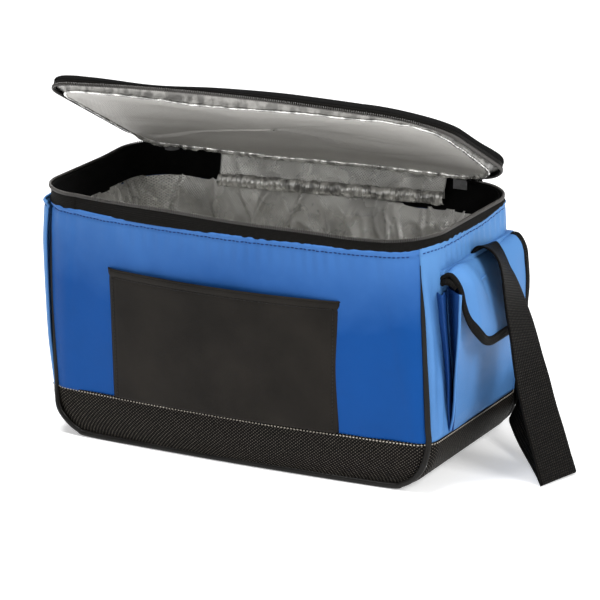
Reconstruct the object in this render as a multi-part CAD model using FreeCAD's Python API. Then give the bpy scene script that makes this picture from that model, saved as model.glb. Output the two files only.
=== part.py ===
import FreeCAD, Part
import math
import os

Vector = FreeCAD.Vector

# Insulated cooler bag, in millimetres. The bag stands on z = 0 with the middle of its base at the
# origin, its front towards -Y and its right end towards +X. The lid is stored partly open.

# Body: a box with rounded lower ends that grows into a rounded, front-bowed rim.
BASE_WIDTH = 300.0
BASE_DEPTH = 147.0
BASE_CORNER = 8.0
LOWER_END_RADIUS = 32.0
BAND_TOP = 36.0
PANEL_TOP = 174.4
RIM_TOP = 183.0
RIM_LEFT, RIM_RIGHT = -162.0, 148.0
RIM_FRONT, RIM_BACK = -85.0, 80.0
RIM_FRONT_CORNER, RIM_BACK_CORNER = 38.0, 42.0
RIM_BOW = 14.0
LOFT_TOP = 190.0

# Wall layers, from the outside in.
FABRIC = 1.5
FOAM = 4.0
LINING = 0.8
FOAM_FACE = FABRIC + FOAM
INNER_FACE = FOAM_FACE + LINING
BOARD = 1.5
PANEL_SEAM_Y = 68.0
FOAM_SEAM_Y = 64.0
LINING_SEAM_Y = 62.0
FLOOR_END_X = 116.0

# Rim: outer band, inner facing, zip tape and coil.
FOAM_TOP = 171.0
FACING_BOTTOM = 162.0
BAND_RIM_TOP = 179.5
TAPE_TOP = 181.8
COIL_TOP = 183.4
TAPE_OUTER, TAPE_INNER = 0.3, 1.2
COIL_WIDTH = 1.8

# Lid, drawn closed and then turned open about the hinge line.
HINGE_Y, HINGE_Z = 82.0, 184.0
LID_OPEN = 27.0
LID_LEFT, LID_RIGHT = -165.5, 145.0
LID_FRONT, LID_BACK = -88.0, 80.0
LID_CORNERS = (36.0, 54.0, 43.0, 30.0)  # front left, front right, back right, back left
LID_BOW = 12.0
LID_COIL_Z = (183.9, 185.5)
LID_TAPE_Z = (185.5, 187.5)
LID_BAND_Z = (187.5, 191.3)
LID_BINDING_Z = (184.4, 185.2)
LID_LINING_Z = (185.2, 186.0)
LID_FOAM_Z = (186.0, 190.0)
LID_TOP_Z = (190.0, 191.3)
LID_PIPING_Z = (191.4, 194.6)
LID_PIPING_OUT, LID_PIPING_IN = -0.9, 2.9
LID_CORE_INSET = 2.2
LID_BINDING_WIDTH = 6.0
ZIP_END_LEFT, ZIP_END_RIGHT = -142.0, 111.0
ZIP_END_Y = 55.0

# Fabric hinge behind the compartment.
HINGE_FLAP_X = (-102.0, 90.0)
HINGE_FLAP_Y = (71.7, 72.5)
HINGE_FLAP_Z = (158.0, 184.0)

# Zip sliders and pulls.
SLIDER_LENGTH = 11.0
SLIDER_Z = (173.0, 184.0)
SLIDER_BRIDGE = 2.0
SLIDER_OUTER = (0.3, 2.4)
SLIDER_INNER = (-4.9, -3.1)
LEFT_SLIDER_X = -136.0
RIGHT_SLIDER_X = 101.0
PIVOT_Z = 173.0
PIVOT_OUT = 4.2
EAR_Z = (171.3, 174.4)
PIN_RADIUS = 0.7
EYE_RADIUS = 0.8
EAR_OFFSET, EAR_THICK = 2.1, 1.1
PULL_THICK = 1.4
PULL_NECK, PULL_WIDTH, PULL_LENGTH = 3.6, 7.0, 23.0

# Piping in the seams round the front and back panels.
PIPING_RADIUS = 2.0
PIPING_GAP = 0.3
PIPING_ANGLE = 48.0
PIPING_HEIGHTS = (170.0, 140.0, 110.0, 80.0, 58.0)
PIPING_STANDOFF = 1.0

# Flat pocket on the front.
POCKET_X = (-99.5, 89.0)
POCKET_Z = (36.5, 134.0)
POCKET_GAP = 7.0
POCKET_SKIN = 1.2
POCKET_HEM = 6.0
HEM_PROUD = 0.8

# Bellows pocket on the right end.
SIDE_POCKET_X = 164.0
SIDE_POCKET_Y = 61.0
SIDE_POCKET_Z = (38.0, 142.0)
SIDE_SKIN = 1.5
PATCH_Y, PATCH_Z = (-14.0, 14.0), (108.0, 128.0)
PATCH_THICK = 1.2

# Flap over the side pocket, hinged on its seam.
FLAP_SEAM_X, FLAP_SEAM_Z = 151.5, 156.0
FLAP_OUTER_X = 170.0
FLAP_HALF = 58.0
FLAP_BOTTOM = 96.0
FLAP_SKIN = 1.5
FLAP_BEND = 8.0
FLAP_CORNER = 30.0
FLAP_BINDING = 5.5
FLAP_ROOT_GAP = 0.3
SEAM_STRIP = 3.5

# Shoulder strap of flat webbing.
STRAP_WIDTH = 38.0
STRAP_THICK = 1.5
FLOOR_GAP = 0.4

# Stations along the strap: middle of the webbing, then the direction across its width.
# The first run leaves the right seam, arches over the flap and drops to the floor.
STRAP_FRONT = [
    ((149.2, 8.0, 158.9), (0.0, 1.0, 0.0)),
    ((156.0, 8.0, 163.3), (0.0, 1.0, 0.0)),
    ((165.0, 7.5, 161.8), (0.0, 1.0, 0.0)),
    ((172.4, 7.0, 154.0), (0.0, 1.0, 0.0)),
    ((174.8, 6.0, 140.0), (0.02, 1.0, 0.0)),
    ((177.6, 4.5, 118.0), (0.05, 1.0, 0.0)),
    ((181.8, 2.0, 97.0), (0.1, 0.99, 0.0)),
    ((187.8, 0.0, 76.0), (0.15, 0.98, 0.0)),
    ((194.8, -2.0, 55.0), (0.2, 0.97, 0.0)),
    ((203.6, -4.5, 30.0), (0.26, 0.96, 0.0)),
    ((212.0, -6.3, 10.0), (0.31, 0.95, 0.0)),
    ((217.0, -6.8, 1.5), (0.325, 0.945, 0.0)),
]
# The second run crosses the floor on its lower edge, passes behind the bag and climbs to the left seam.
# None as a height means that the lower edge lies on the floor.
STRAP_REAR = [
    ((215.4, -6.2, None), (0.34, 0.94, 0.02)),
    ((204.2, 13.5, None), (0.42, 0.85, 0.3)),
    ((190.9, 31.8, None), (0.5, 0.66, 0.56)),
    ((176.1, 50.3, None), (0.5, 0.48, 0.72)),
    ((161.5, 71.0, None), (0.46, 0.36, 0.81)),
    ((146.0, 91.5, None), (0.38, 0.26, 0.88)),
    ((122.0, 104.0, None), (0.12, 0.16, 0.98)),
    ((82.0, 107.0, None), (0.0, 0.1, 0.99)),
    ((20.0, 104.0, None), (0.0, 0.06, 1.0)),
    ((-50.0, 101.5, None), (0.0, 0.05, 1.0)),
    ((-104.0, 101.0, 24.0), (0.1, 0.06, 0.99)),
    ((-140.0, 97.0, 40.0), (0.32, 0.2, 0.92)),
    ((-167.0, 82.0, 63.0), (0.42, 0.48, 0.77)),
    ((-183.0, 58.0, 90.0), (0.3, 0.76, 0.58)),
    ((-190.0, 34.0, 118.0), (0.1, 0.92, 0.37)),
    ((-191.0, 17.0, 142.0), (0.0, 0.98, 0.16)),
    ((-185.5, 9.0, 157.0), (0.0, 1.0, 0.04)),
    ((-174.5, 7.0, 163.4), (0.0, 1.0, 0.0)),
    ((-161.7, 7.0, 159.2), (0.0, 1.0, 0.0)),
]

FAR = 400.0


def line(a, b):
    return Part.LineSegment(Vector(*a), Vector(*b)).toShape()


def arc(a, middle, b):
    return Part.Arc(Vector(*a), Vector(*middle), Vector(*b)).toShape()


def corner_arc(centre, radius, start_deg, z):
    """Quarter circle, anticlockwise from start_deg, as three points and the edge through them."""
    points = []
    for turn in (0.0, 45.0, 90.0):
        angle = math.radians(start_deg + turn)
        points.append((centre[0] + radius * math.cos(angle), centre[1] + radius * math.sin(angle), z))
    return points


def outline(left, right, front, back, corners, bow, z):
    """Closed plan outline: bowed front, straight sides and back, four rounded corners.

    The corner radii go round from the front left.
    """
    r_front_left, r_front_right, r_back_right, r_back_left = corners
    middle = (left + r_front_left + right - r_front_right) / 2
    front_right = corner_arc((right - r_front_right, front + r_front_right), r_front_right, -90, z)
    back_right = corner_arc((right - r_back_right, back - r_back_right), r_back_right, 0, z)
    back_left = corner_arc((left + r_back_left, back - r_back_left), r_back_left, 90, z)
    front_left = corner_arc((left + r_front_left, front + r_front_left), r_front_left, 180, z)
    if bow:
        front_edge = arc(front_left[2], (middle, front - bow, z), front_right[0])
    else:
        front_edge = line(front_left[2], front_right[0])
    return Part.Wire([
        front_edge,
        arc(*front_right),
        line(front_right[2], back_right[0]),
        arc(*back_right),
        line(back_right[2], back_left[0]),
        arc(*back_left),
        line(back_left[2], front_left[0]),
        arc(*front_left),
    ])


def at_height(base, rim, z):
    """A wall dimension at height z: straight from its value at the base to its value at the rim."""
    return base + (rim - base) * z / RIM_TOP


def body_outline(inset, z):
    half_w, half_d = BASE_WIDTH / 2, BASE_DEPTH / 2
    front_corner = at_height(BASE_CORNER, RIM_FRONT_CORNER, z) - inset
    back_corner = at_height(BASE_CORNER, RIM_BACK_CORNER, z) - inset
    return outline(
        at_height(-half_w, RIM_LEFT, z) + inset,
        at_height(half_w, RIM_RIGHT, z) - inset,
        at_height(-half_d, RIM_FRONT, z) + inset,
        at_height(half_d, RIM_BACK, z) - inset,
        (front_corner, front_corner, back_corner, back_corner),
        at_height(0.0, RIM_BOW, z),
        z,
    )


def end_profile(inset):
    """Prism that rounds the lower left and right ends, open above them."""
    radius = LOWER_END_RADIUS
    left = at_height(-BASE_WIDTH / 2, RIM_LEFT, radius)
    right = at_height(BASE_WIDTH / 2, RIM_RIGHT, radius)
    small = radius - inset
    diagonal = small * math.sqrt(0.5)
    y = -FAR
    edges = [
        line((-FAR, y, radius), (left + inset, y, radius)),
        arc(
            (left + inset, y, radius),
            (left + radius - diagonal, y, radius - diagonal),
            (left + radius, y, inset),
        ),
        line((left + radius, y, inset), (right - radius, y, inset)),
        arc(
            (right - radius, y, inset),
            (right - radius + diagonal, y, radius - diagonal),
            (right - inset, y, radius),
        ),
        line((right - inset, y, radius), (FAR, y, radius)),
        line((FAR, y, radius), (FAR, y, FAR)),
        line((FAR, y, FAR), (-FAR, y, FAR)),
        line((-FAR, y, FAR), (-FAR, y, radius)),
    ]
    return Part.Face(Part.Wire(edges)).extrude(Vector(0, 2 * FAR, 0))


def body_block(inset):
    """The bag's solid form, moved inwards by inset (outwards when it is negative)."""
    sections = [body_outline(inset, -2.0 * BASE_CORNER), body_outline(inset, LOFT_TOP)]
    return Part.makeLoft(sections, True, True).common(end_profile(inset))


def box(x, y, z):
    return Part.makeBox(x[1] - x[0], y[1] - y[0], z[1] - z[0], Vector(x[0], y[0], z[0]))


ALL = (-FAR, FAR)
FRONT, BACK = "front", "back"


def side_box(side, seam_y, z, end_x=0.0):
    """Region of one wall: front and back lie past the seam, left and right between the seams."""
    regions = {
        "front": (ALL, (-FAR, -seam_y)),
        "back": (ALL, (seam_y, FAR)),
        "left": ((-FAR, -end_x), (-seam_y, seam_y)),
        "right": ((end_x, FAR), (-seam_y, seam_y)),
    }
    x, y = regions[side]
    return box(x, y, z)


def lid_outline(inset, z):
    return outline(
        LID_LEFT + inset,
        LID_RIGHT - inset,
        LID_FRONT + inset,
        LID_BACK - inset,
        [radius - inset for radius in LID_CORNERS],
        LID_BOW,
        z,
    )


def lid_plate(inset, z):
    return Part.Face(lid_outline(inset, z[0])).extrude(Vector(0, 0, z[1] - z[0]))


def lid_ring(outer, inner, z):
    return lid_plate(outer, z).cut(lid_plate(inner, z))


def zip_gap():
    """Region behind the bag where the zip stops and the fabric hinge takes over."""
    return box((ZIP_END_LEFT, ZIP_END_RIGHT), (ZIP_END_Y, FAR), ALL)


def opened(shape):
    """A lid piece, turned from closed to its stored opening."""
    turned = shape.copy()
    turned.rotate(Vector(0, HINGE_Y, HINGE_Z), Vector(1, 0, 0), -LID_OPEN)
    return turned


def body_walls(blocks):
    """Outer panels and bands, foam, lining, rim pieces and the body's half of the zip."""
    fabric = blocks["outer"].cut(blocks["foam"])
    foam = blocks["foam"].cut(blocks["lining"])
    lining = blocks["lining"].cut(blocks["inner"])
    parts = {}
    for side in ("front", "back", "left", "right"):
        panel = "_panel" if side in (FRONT, BACK) else "_side_panel"
        upper = side_box(side, PANEL_SEAM_Y, (BAND_TOP, PANEL_TOP))
        lower = side_box(side, PANEL_SEAM_Y, (-FAR, BAND_TOP), FLOOR_END_X)
        parts[side + panel] = fabric.common(upper)
        parts[side + "_band"] = fabric.common(lower)
        parts["foam_" + side] = foam.common(side_box(side, FOAM_SEAM_Y, (-FAR, FOAM_TOP), FLOOR_END_X))
        parts["lining_" + side] = lining.common(
            side_box(side, LINING_SEAM_Y, (-FAR, FACING_BOTTOM), FLOOR_END_X)
        )
    floor_x = (-FLOOR_END_X, FLOOR_END_X)
    parts["bottom_panel"] = fabric.common(box(floor_x, (-PANEL_SEAM_Y, PANEL_SEAM_Y), (-FAR, BAND_TOP)))
    parts["foam_bottom"] = foam.common(
        box(floor_x, (-FOAM_SEAM_Y, FOAM_SEAM_Y), (FABRIC + BOARD, BAND_TOP))
    )
    parts["base_board"] = box(floor_x, (-FOAM_SEAM_Y, FOAM_SEAM_Y), (FABRIC, FABRIC + BOARD))
    parts["lining_floor"] = lining.common(box(floor_x, (-LINING_SEAM_Y, LINING_SEAM_Y), (-FAR, BAND_TOP)))
    return parts, fabric, lining


def rim_pieces(blocks, fabric, lining):
    parts = {"rim_band": fabric.common(box(ALL, ALL, (PANEL_TOP, BAND_RIM_TOP)))}
    behind_band = body_block(FABRIC).cut(body_block(FABRIC + LINING))
    ledge = (FOAM_TOP, FOAM_TOP + LINING)
    facing = lining.common(box(ALL, ALL, (FACING_BOTTOM, FOAM_TOP)))
    shelf = body_block(FABRIC).cut(blocks["inner"]).common(box(ALL, ALL, ledge))
    upper = behind_band.common(box(ALL, ALL, (ledge[1], BAND_RIM_TOP)))
    parts["rim_facing"] = facing.fuse([shelf, upper]).removeSplitter()
    tape = body_block(TAPE_OUTER).cut(body_block(TAPE_INNER))
    parts["body_zip_tape"] = tape.common(box(ALL, ALL, (BAND_RIM_TOP, TAPE_TOP)))
    coil = blocks["outer"].cut(body_block(COIL_WIDTH))
    parts["body_zip_coil"] = coil.common(box(ALL, ALL, (TAPE_TOP, COIL_TOP))).cut(zip_gap())
    return parts


def piping_point(side, end, z):
    """Middle of the piping at height z, beside a corner of the body. End is -1 for left, 1 for right."""
    if side == FRONT:
        corner, y_edge, outward = at_height(BASE_CORNER, RIM_FRONT_CORNER, z), RIM_FRONT, -1
    else:
        corner, y_edge, outward = at_height(BASE_CORNER, RIM_BACK_CORNER, z), RIM_BACK, 1
    x_edge = at_height(end * BASE_WIDTH / 2, RIM_LEFT if end < 0 else RIM_RIGHT, z)
    y_edge = at_height(outward * BASE_DEPTH / 2, y_edge, z)
    reach = corner + PIPING_RADIUS + PIPING_GAP
    angle = math.radians(PIPING_ANGLE)
    x = x_edge - end * corner + end * reach * math.sin(angle)
    y = y_edge - outward * corner + outward * reach * math.cos(angle)
    return Vector(x, y, z)


def piping(side):
    """Round cord in the seam round a front or back panel: down one corner, under, and up the other."""
    low = PIPING_RADIUS + PIPING_GAP
    outward = -1 if side == FRONT else 1
    y = outward * (BASE_DEPTH / 2 + low + PIPING_STANDOFF)
    bend = LOWER_END_RADIUS - low
    middle = bend * math.sqrt(0.5)
    upper, lower, feet = {}, {}, {}
    for end in (-1, 1):
        wall = at_height(end * BASE_WIDTH / 2, RIM_LEFT if end < 0 else RIM_RIGHT, LOWER_END_RADIUS)
        centre_x = wall - end * LOWER_END_RADIUS
        run = [piping_point(side, end, z) for z in PIPING_HEIGHTS]
        run.append(Vector(centre_x + end * bend, y, LOWER_END_RADIUS))
        curve = Part.BSplineCurve()
        curve.interpolate(
            Points=run, InitialTangent=(run[1] - run[0]).normalize(), FinalTangent=Vector(0, 0, -1)
        )
        upper[end] = curve
        feet[end] = (centre_x, y, low)
        knee = (centre_x + end * middle, y, LOWER_END_RADIUS - middle)
        lower[end] = arc(tuple(run[-1]), knee, feet[end])
    start = upper[-1].FirstParameter
    tangent = upper[-1].tangent(start)[0]
    circle = Part.Wire([Part.makeCircle(PIPING_RADIUS, upper[-1].value(start), tangent)])
    edges = [upper[-1].toShape(), lower[-1], line(feet[-1], feet[1]), lower[1], upper[1].toShape()]
    return Part.Wire(edges).makePipeShell([circle], True, False)


def front_pocket(blocks):
    """Flat pocket that stands off the front panel, open at the top, with a folded hem."""
    whole = body_block(-POCKET_GAP - POCKET_SKIN).cut(blocks["outer"])
    hollow = body_block(-POCKET_GAP).cut(blocks["outer"])
    y = (-FAR, 0.0)
    inner_x = (POCKET_X[0] + POCKET_SKIN, POCKET_X[1] - POCKET_SKIN)
    pocket = whole.common(box(POCKET_X, y, POCKET_Z))
    space = hollow.common(box(inner_x, y, (POCKET_Z[0] + POCKET_SKIN, POCKET_Z[1] + 1)))
    hem = body_block(-POCKET_GAP - POCKET_SKIN - HEM_PROUD).cut(body_block(-POCKET_GAP - POCKET_SKIN))
    hem = hem.common(box(POCKET_X, y, (POCKET_Z[1] - POCKET_HEM, POCKET_Z[1])))
    return {"front_pocket": pocket.cut(space), "front_pocket_hem": hem}


def side_pocket(blocks):
    """Bellows pocket: an outer panel on folded gussets, and the loop half of its fastening."""
    y = (-SIDE_POCKET_Y, SIDE_POCKET_Y)
    panel_x = (SIDE_POCKET_X - SIDE_SKIN, SIDE_POCKET_X)
    panel = box(panel_x, y, SIDE_POCKET_Z)
    inner_y = (-SIDE_POCKET_Y + SIDE_SKIN, SIDE_POCKET_Y - SIDE_SKIN)
    gusset = box((120.0, panel_x[0]), y, SIDE_POCKET_Z)
    gusset = gusset.cut(box(ALL, inner_y, (SIDE_POCKET_Z[0] + SIDE_SKIN, FAR)))
    patch = box((SIDE_POCKET_X, SIDE_POCKET_X + PATCH_THICK), PATCH_Y, PATCH_Z)
    return {
        "side_pocket_panel": panel,
        "side_pocket_gusset": gusset.cut(blocks["outer"]),
        "pocket_loop_patch": patch,
    }


def flap_sheet(outwards):
    """Section of the flap, moved outwards, drawn in XZ and run across the flap's width."""
    start = FLAP_SEAM_X + FLAP_ROOT_GAP
    top = FLAP_SEAM_Z + 1.0
    bend = FLAP_BEND
    skin = FLAP_SKIN
    outer_x = FLAP_OUTER_X + outwards
    low = FLAP_BOTTOM
    y = -FLAP_HALF
    diagonal = math.sqrt(0.5)
    centre = (outer_x - bend, top - bend)
    inner = bend - skin
    edges = [
        line((start, y, top), (centre[0], y, top)),
        arc(
            (centre[0], y, top),
            (centre[0] + bend * diagonal, y, centre[1] + bend * diagonal),
            (outer_x, y, centre[1]),
        ),
        line((outer_x, y, centre[1]), (outer_x, y, low)),
        line((outer_x, y, low), (outer_x - skin, y, low)),
        line((outer_x - skin, y, low), (outer_x - skin, y, centre[1])),
        arc(
            (outer_x - skin, y, centre[1]),
            (centre[0] + inner * diagonal, y, centre[1] + inner * diagonal),
            (centre[0], y, top - skin),
        ),
        line((centre[0], y, top - skin), (start, y, top - skin)),
        line((start, y, top - skin), (start, y, top)),
    ]
    return Part.Face(Part.Wire(edges)).extrude(Vector(0, 2 * FLAP_HALF, 0))


def flap_shape(margin):
    """Front view of the flap, rounded at its two lower corners, less a margin all round."""
    half, low, radius = FLAP_HALF - margin, FLAP_BOTTOM + margin, FLAP_CORNER - margin
    top = FLAP_SEAM_Z + FAR
    corner = radius * (1 - math.sqrt(0.5))
    x = 0.0
    edges = [
        line((x, -half, top), (x, -half, low + radius)),
        arc((x, -half, low + radius), (x, -half + corner, low + corner), (x, -half + radius, low)),
        line((x, -half + radius, low), (x, half - radius, low)),
        arc((x, half - radius, low), (x, half - corner, low + corner), (x, half, low + radius)),
        line((x, half, low + radius), (x, half, top)),
        line((x, half, top), (x, -half, top)),
    ]
    return Part.Face(Part.Wire(edges)).extrude(Vector(FAR, 0, 0))


def pocket_flap(blocks):
    sheet = flap_sheet(0.0).common(flap_shape(0.0))
    middle = flap_shape(FLAP_BINDING)
    strip_x = (120.0, FLAP_SEAM_X - FLAP_ROOT_GAP)
    strip = box(strip_x, (-FLAP_HALF, FLAP_HALF), (FLAP_SEAM_Z + 1.0 - SEAM_STRIP, FLAP_SEAM_Z + 1.0))
    inner_x = FLAP_OUTER_X - FLAP_SKIN
    patch = box((inner_x - PATCH_THICK, inner_x), PATCH_Y, PATCH_Z)
    return {
        "pocket_flap": sheet.common(middle),
        "flap_binding": sheet.cut(middle),
        "flap_hook_patch": patch,
        "flap_seam_strip": strip.cut(blocks["outer"]),
    }


def lid_pieces():
    core = LID_CORE_INSET
    pieces = {
        "lid_zip_coil": lid_ring(0.0, COIL_WIDTH, LID_COIL_Z).cut(zip_gap()),
        "lid_zip_tape": lid_ring(TAPE_OUTER, TAPE_INNER, LID_TAPE_Z),
        "lid_side_band": lid_ring(0.0, FABRIC, LID_BAND_Z),
        "lid_piping": lid_ring(LID_PIPING_OUT, LID_PIPING_IN, LID_PIPING_Z),
        "lid_top": lid_plate(FABRIC, LID_TOP_Z),
        "lid_foam": lid_plate(core, LID_FOAM_Z),
        "lid_lining": lid_plate(core, LID_LINING_Z),
        "lid_lining_binding": lid_ring(core, core + LID_BINDING_WIDTH, LID_BINDING_Z),
    }
    return {name: opened(shape) for name, shape in pieces.items()}


def slider():
    """Zip slider that saddles the tape: two plates, a bridge, and a crown with its cross pin.
    X runs along the zip and Y outwards, with the tape's outer face at y = 0."""
    along = (-SLIDER_LENGTH / 2, SLIDER_LENGTH / 2)
    bridge_z = (SLIDER_Z[1] - SLIDER_BRIDGE, SLIDER_Z[1])
    plates = box(along, SLIDER_OUTER, SLIDER_Z)
    plates = plates.fuse(box(along, SLIDER_INNER, SLIDER_Z))
    plates = plates.fuse(box(along, (SLIDER_INNER[0], SLIDER_OUTER[1]), bridge_z))
    reach = PIVOT_OUT + 2 * PIN_RADIUS
    for offset in (-EAR_OFFSET - EAR_THICK, EAR_OFFSET):
        plates = plates.fuse(box((offset, offset + EAR_THICK), (SLIDER_OUTER[0], reach), EAR_Z))
    pin = Part.makeCylinder(
        PIN_RADIUS, 2 * EAR_OFFSET, Vector(-EAR_OFFSET, PIVOT_OUT, PIVOT_Z), Vector(1, 0, 0)
    )
    return plates.fuse(pin).removeSplitter()


def pull():
    """Pull tab that hangs from the slider's cross pin by a clear round eye."""
    half = PULL_THICK / 2
    y = (PIVOT_OUT - half, PIVOT_OUT + half)
    neck = box((-PULL_NECK / 2, PULL_NECK / 2), y, (PIVOT_Z - 4.5, PIVOT_Z))
    eye = Part.makeCylinder(
        EYE_RADIUS + half, PULL_NECK, Vector(-PULL_NECK / 2, PIVOT_OUT, PIVOT_Z), Vector(1, 0, 0)
    )
    tab = box((-PULL_WIDTH / 2, PULL_WIDTH / 2), y, (PIVOT_Z - PULL_LENGTH, PIVOT_Z - 4.5))
    corners = [e for e in tab.Edges if abs(e.Length - PULL_THICK) < 0.01]
    tab = tab.makeFillet(1.5, corners)
    bore = Part.makeCylinder(
        EYE_RADIUS, 2 * PULL_NECK, Vector(-PULL_NECK, PIVOT_OUT, PIVOT_Z), Vector(1, 0, 0)
    )
    return neck.fuse([eye, tab]).cut(bore).removeSplitter()


def on_rim(shape, x, turn_deg, y):
    """A slider or pull, set on the back rim at x, turned to follow the rim's curve."""
    placed = shape.copy()
    placed.rotate(Vector(0, 0, 0), Vector(0, 0, 1), turn_deg)
    placed.translate(Vector(x, y, 0))
    return placed


def rim_spot(x):
    """Turn and y of the body's back rim at x, on the straight part or on a rear corner."""
    corner_x = RIM_LEFT + RIM_BACK_CORNER
    if x >= corner_x:
        return 0.0, RIM_BACK
    turn = math.asin((corner_x - x) / RIM_BACK_CORNER)
    return math.degrees(turn), RIM_BACK - RIM_BACK_CORNER * (1 - math.cos(turn))


def zip_ends():
    parts = {}
    for name, x in (("left", LEFT_SLIDER_X), ("right", RIGHT_SLIDER_X)):
        turn, y = rim_spot(x)
        parts["slider_" + name] = on_rim(slider(), x, turn, y)
        parts["pull_" + name] = on_rim(pull(), x, turn, y)
        pivot = Vector(0, PIVOT_OUT, PIVOT_Z)
        spot = FreeCAD.Placement(Vector(x, y, 0), FreeCAD.Rotation(Vector(0, 0, 1), turn))
        print("pull_" + name, "pivot", spot.multVec(pivot), "turn", round(turn, 3))
    return parts


def on_floor(station):
    """A strap station as vectors, with a missing height set so that the lower edge is on the floor."""
    (x, y, z), across = station
    across = Vector(*across).normalize()
    if z is None:
        z = across.z * STRAP_WIDTH / 2 + STRAP_THICK / 2 + FLOOR_GAP
    return Vector(x, y, z), across


def webbing(stations):
    """Flat strap through the stations: a rectangle at each one, joined by flat triangles."""
    placed = [on_floor(s) for s in stations]
    length = 0.0
    rings = []
    for i, (middle, across) in enumerate(placed):
        before = placed[max(i - 1, 0)][0]
        after = placed[min(i + 1, len(placed) - 1)][0]
        thick = (after - before).cross(across).normalize() * (STRAP_THICK / 2)
        half = across * (STRAP_WIDTH / 2)
        rings.append([
            middle - half - thick, middle + half - thick, middle + half + thick, middle - half + thick
        ])
        if i:
            length += (middle - before).Length
    outlines = [rings[0], rings[-1]]
    for ring, following in zip(rings, rings[1:]):
        for k in range(4):
            a, b, c, d = ring[k], ring[(k + 1) % 4], following[(k + 1) % 4], following[k]
            outlines += [[a, b, c], [a, c, d]]
    faces = [Part.Face(Part.makePolygon(points + points[:1])) for points in outlines]
    solid = Part.Solid(Part.Shell(faces))
    if solid.Volume < 0:
        solid.reverse()
    return solid, length


def build():
    insets = {"outer": 0.0, "foam": FABRIC, "lining": FOAM_FACE, "inner": INNER_FACE}
    blocks = {name: body_block(inset) for name, inset in insets.items()}
    parts, fabric, lining = body_walls(blocks)
    parts.update(rim_pieces(blocks, fabric, lining))
    parts["front_piping"] = piping(FRONT)
    parts["rear_piping"] = piping(BACK)
    parts.update(front_pocket(blocks))
    parts.update(side_pocket(blocks))
    parts.update(pocket_flap(blocks))
    parts.update(lid_pieces())
    parts["hinge_flap"] = box(HINGE_FLAP_X, HINGE_FLAP_Y, HINGE_FLAP_Z)
    parts.update(zip_ends())
    total = 0.0
    for name, stations in (("strap_front_run", STRAP_FRONT), ("strap_rear_run", STRAP_REAR)):
        parts[name], length = webbing(stations)
        total += length
    print("strap length", round(total, 1))
    return parts


os.makedirs("parts", exist_ok=True)
for node, shape in build().items():
    print(node, shape.isValid(), len(shape.Solids), round(shape.Volume / 1000.0, 3), "cm3")
    shape.exportStep("parts/" + node + ".step")
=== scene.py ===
import bpy
import math
import numpy as np
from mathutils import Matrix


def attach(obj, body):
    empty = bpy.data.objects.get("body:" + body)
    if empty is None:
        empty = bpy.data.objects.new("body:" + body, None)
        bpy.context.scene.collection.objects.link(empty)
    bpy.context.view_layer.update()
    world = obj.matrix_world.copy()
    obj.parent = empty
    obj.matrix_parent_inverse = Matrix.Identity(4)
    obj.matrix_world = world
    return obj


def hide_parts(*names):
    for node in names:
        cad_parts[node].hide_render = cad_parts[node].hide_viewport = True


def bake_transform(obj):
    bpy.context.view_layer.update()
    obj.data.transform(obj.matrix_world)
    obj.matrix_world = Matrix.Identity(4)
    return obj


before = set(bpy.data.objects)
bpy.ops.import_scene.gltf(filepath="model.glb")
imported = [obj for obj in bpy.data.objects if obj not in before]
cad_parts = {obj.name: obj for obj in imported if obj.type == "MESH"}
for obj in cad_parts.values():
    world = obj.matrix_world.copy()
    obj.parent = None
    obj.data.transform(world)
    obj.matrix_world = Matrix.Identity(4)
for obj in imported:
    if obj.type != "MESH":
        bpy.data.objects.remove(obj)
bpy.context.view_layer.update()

MM = 0.001
LIN = np.linspace

# ---------------------------------------------------------------- dimensions (mm)
RIM_TOP = 183.0
END_R = 32.0          # radius of the rounded lower ends
SEAM_ANGLE = math.radians(48.0)    # where the side seams lie round the upright corners
HINGE_Y, HINGE_Z = 82.0, 184.0
LID_OPEN = math.radians(27.0)
LID_TWIST = 0.0165    # how much higher the opened lid stands, for each mm to the right
LID = dict(l=-165.5, r=145.0, f=-88.0, b=80.0, corners=(36.0, 54.0, 43.0, 30.0), bow=12.0)


def smooth(t):
    t = np.clip(t, 0.0, 1.0)
    return t * t * (3 - 2 * t)


def ramp(v, a, b):
    """0 below a, 1 above b, smooth between them (a may be above b)."""
    return smooth((np.asarray(v, float) - a) / (b - a))


def xyz(x, y, z):
    """Points from their coordinates, any of which may be a single number."""
    return np.stack(np.broadcast_arrays(x, y, z), -1).astype(float)


def lengths(path):
    """Distance along a path, from 0 at its first point."""
    return np.concatenate([[0], np.cumsum(np.linalg.norm(np.diff(path, axis=0), axis=1))])


def dims(z):
    """Plan of the bag at height z: left, right, front, back, corner radii, and the front's bow."""
    t = np.asarray(z, float) / RIM_TOP
    cf, cb = 8 + 30 * t, 8 + 34 * t
    return dict(l=-150 - 12 * t, r=150 - 2 * t, f=-73.5 - 11.5 * t, b=73.5 + 6.5 * t,
                cf=cf, cb=cb, corners=(cf, cf, cb, cb), bow=5 + 9 * t)


# ---------------------------------------------------------------- noise
def value_noise(P, scale, seed):
    """Smooth lattice noise in -1..1; scale is a number or three numbers, in mm."""
    q = np.asarray(P, float) / np.asarray(scale, float)
    i = np.floor(q).astype(np.int64)
    f = smooth(q - i)
    out = np.zeros(q.shape[:-1])
    for dx in (0, 1):
        for dy in (0, 1):
            for dz in (0, 1):
                n = (i[..., 0] + dx) * 374761393 + (i[..., 1] + dy) * 668265263
                n = (n + (i[..., 2] + dz) * 2147483647 + seed * 974634777) & 0x7FFFFFFF
                n = ((n ^ (n >> 13)) * 1274126177) & 0x7FFFFFFF
                n = ((n ^ (n >> 16)) * 668265263) & 0x7FFFFFFF
                h = (n & 0xFFFF) / 32767.5 - 1.0
                w = np.where(dx, f[..., 0], 1 - f[..., 0]) * np.where(dy, f[..., 1], 1 - f[..., 1])
                out += h * w * np.where(dz, f[..., 2], 1 - f[..., 2])
    return out


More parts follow.
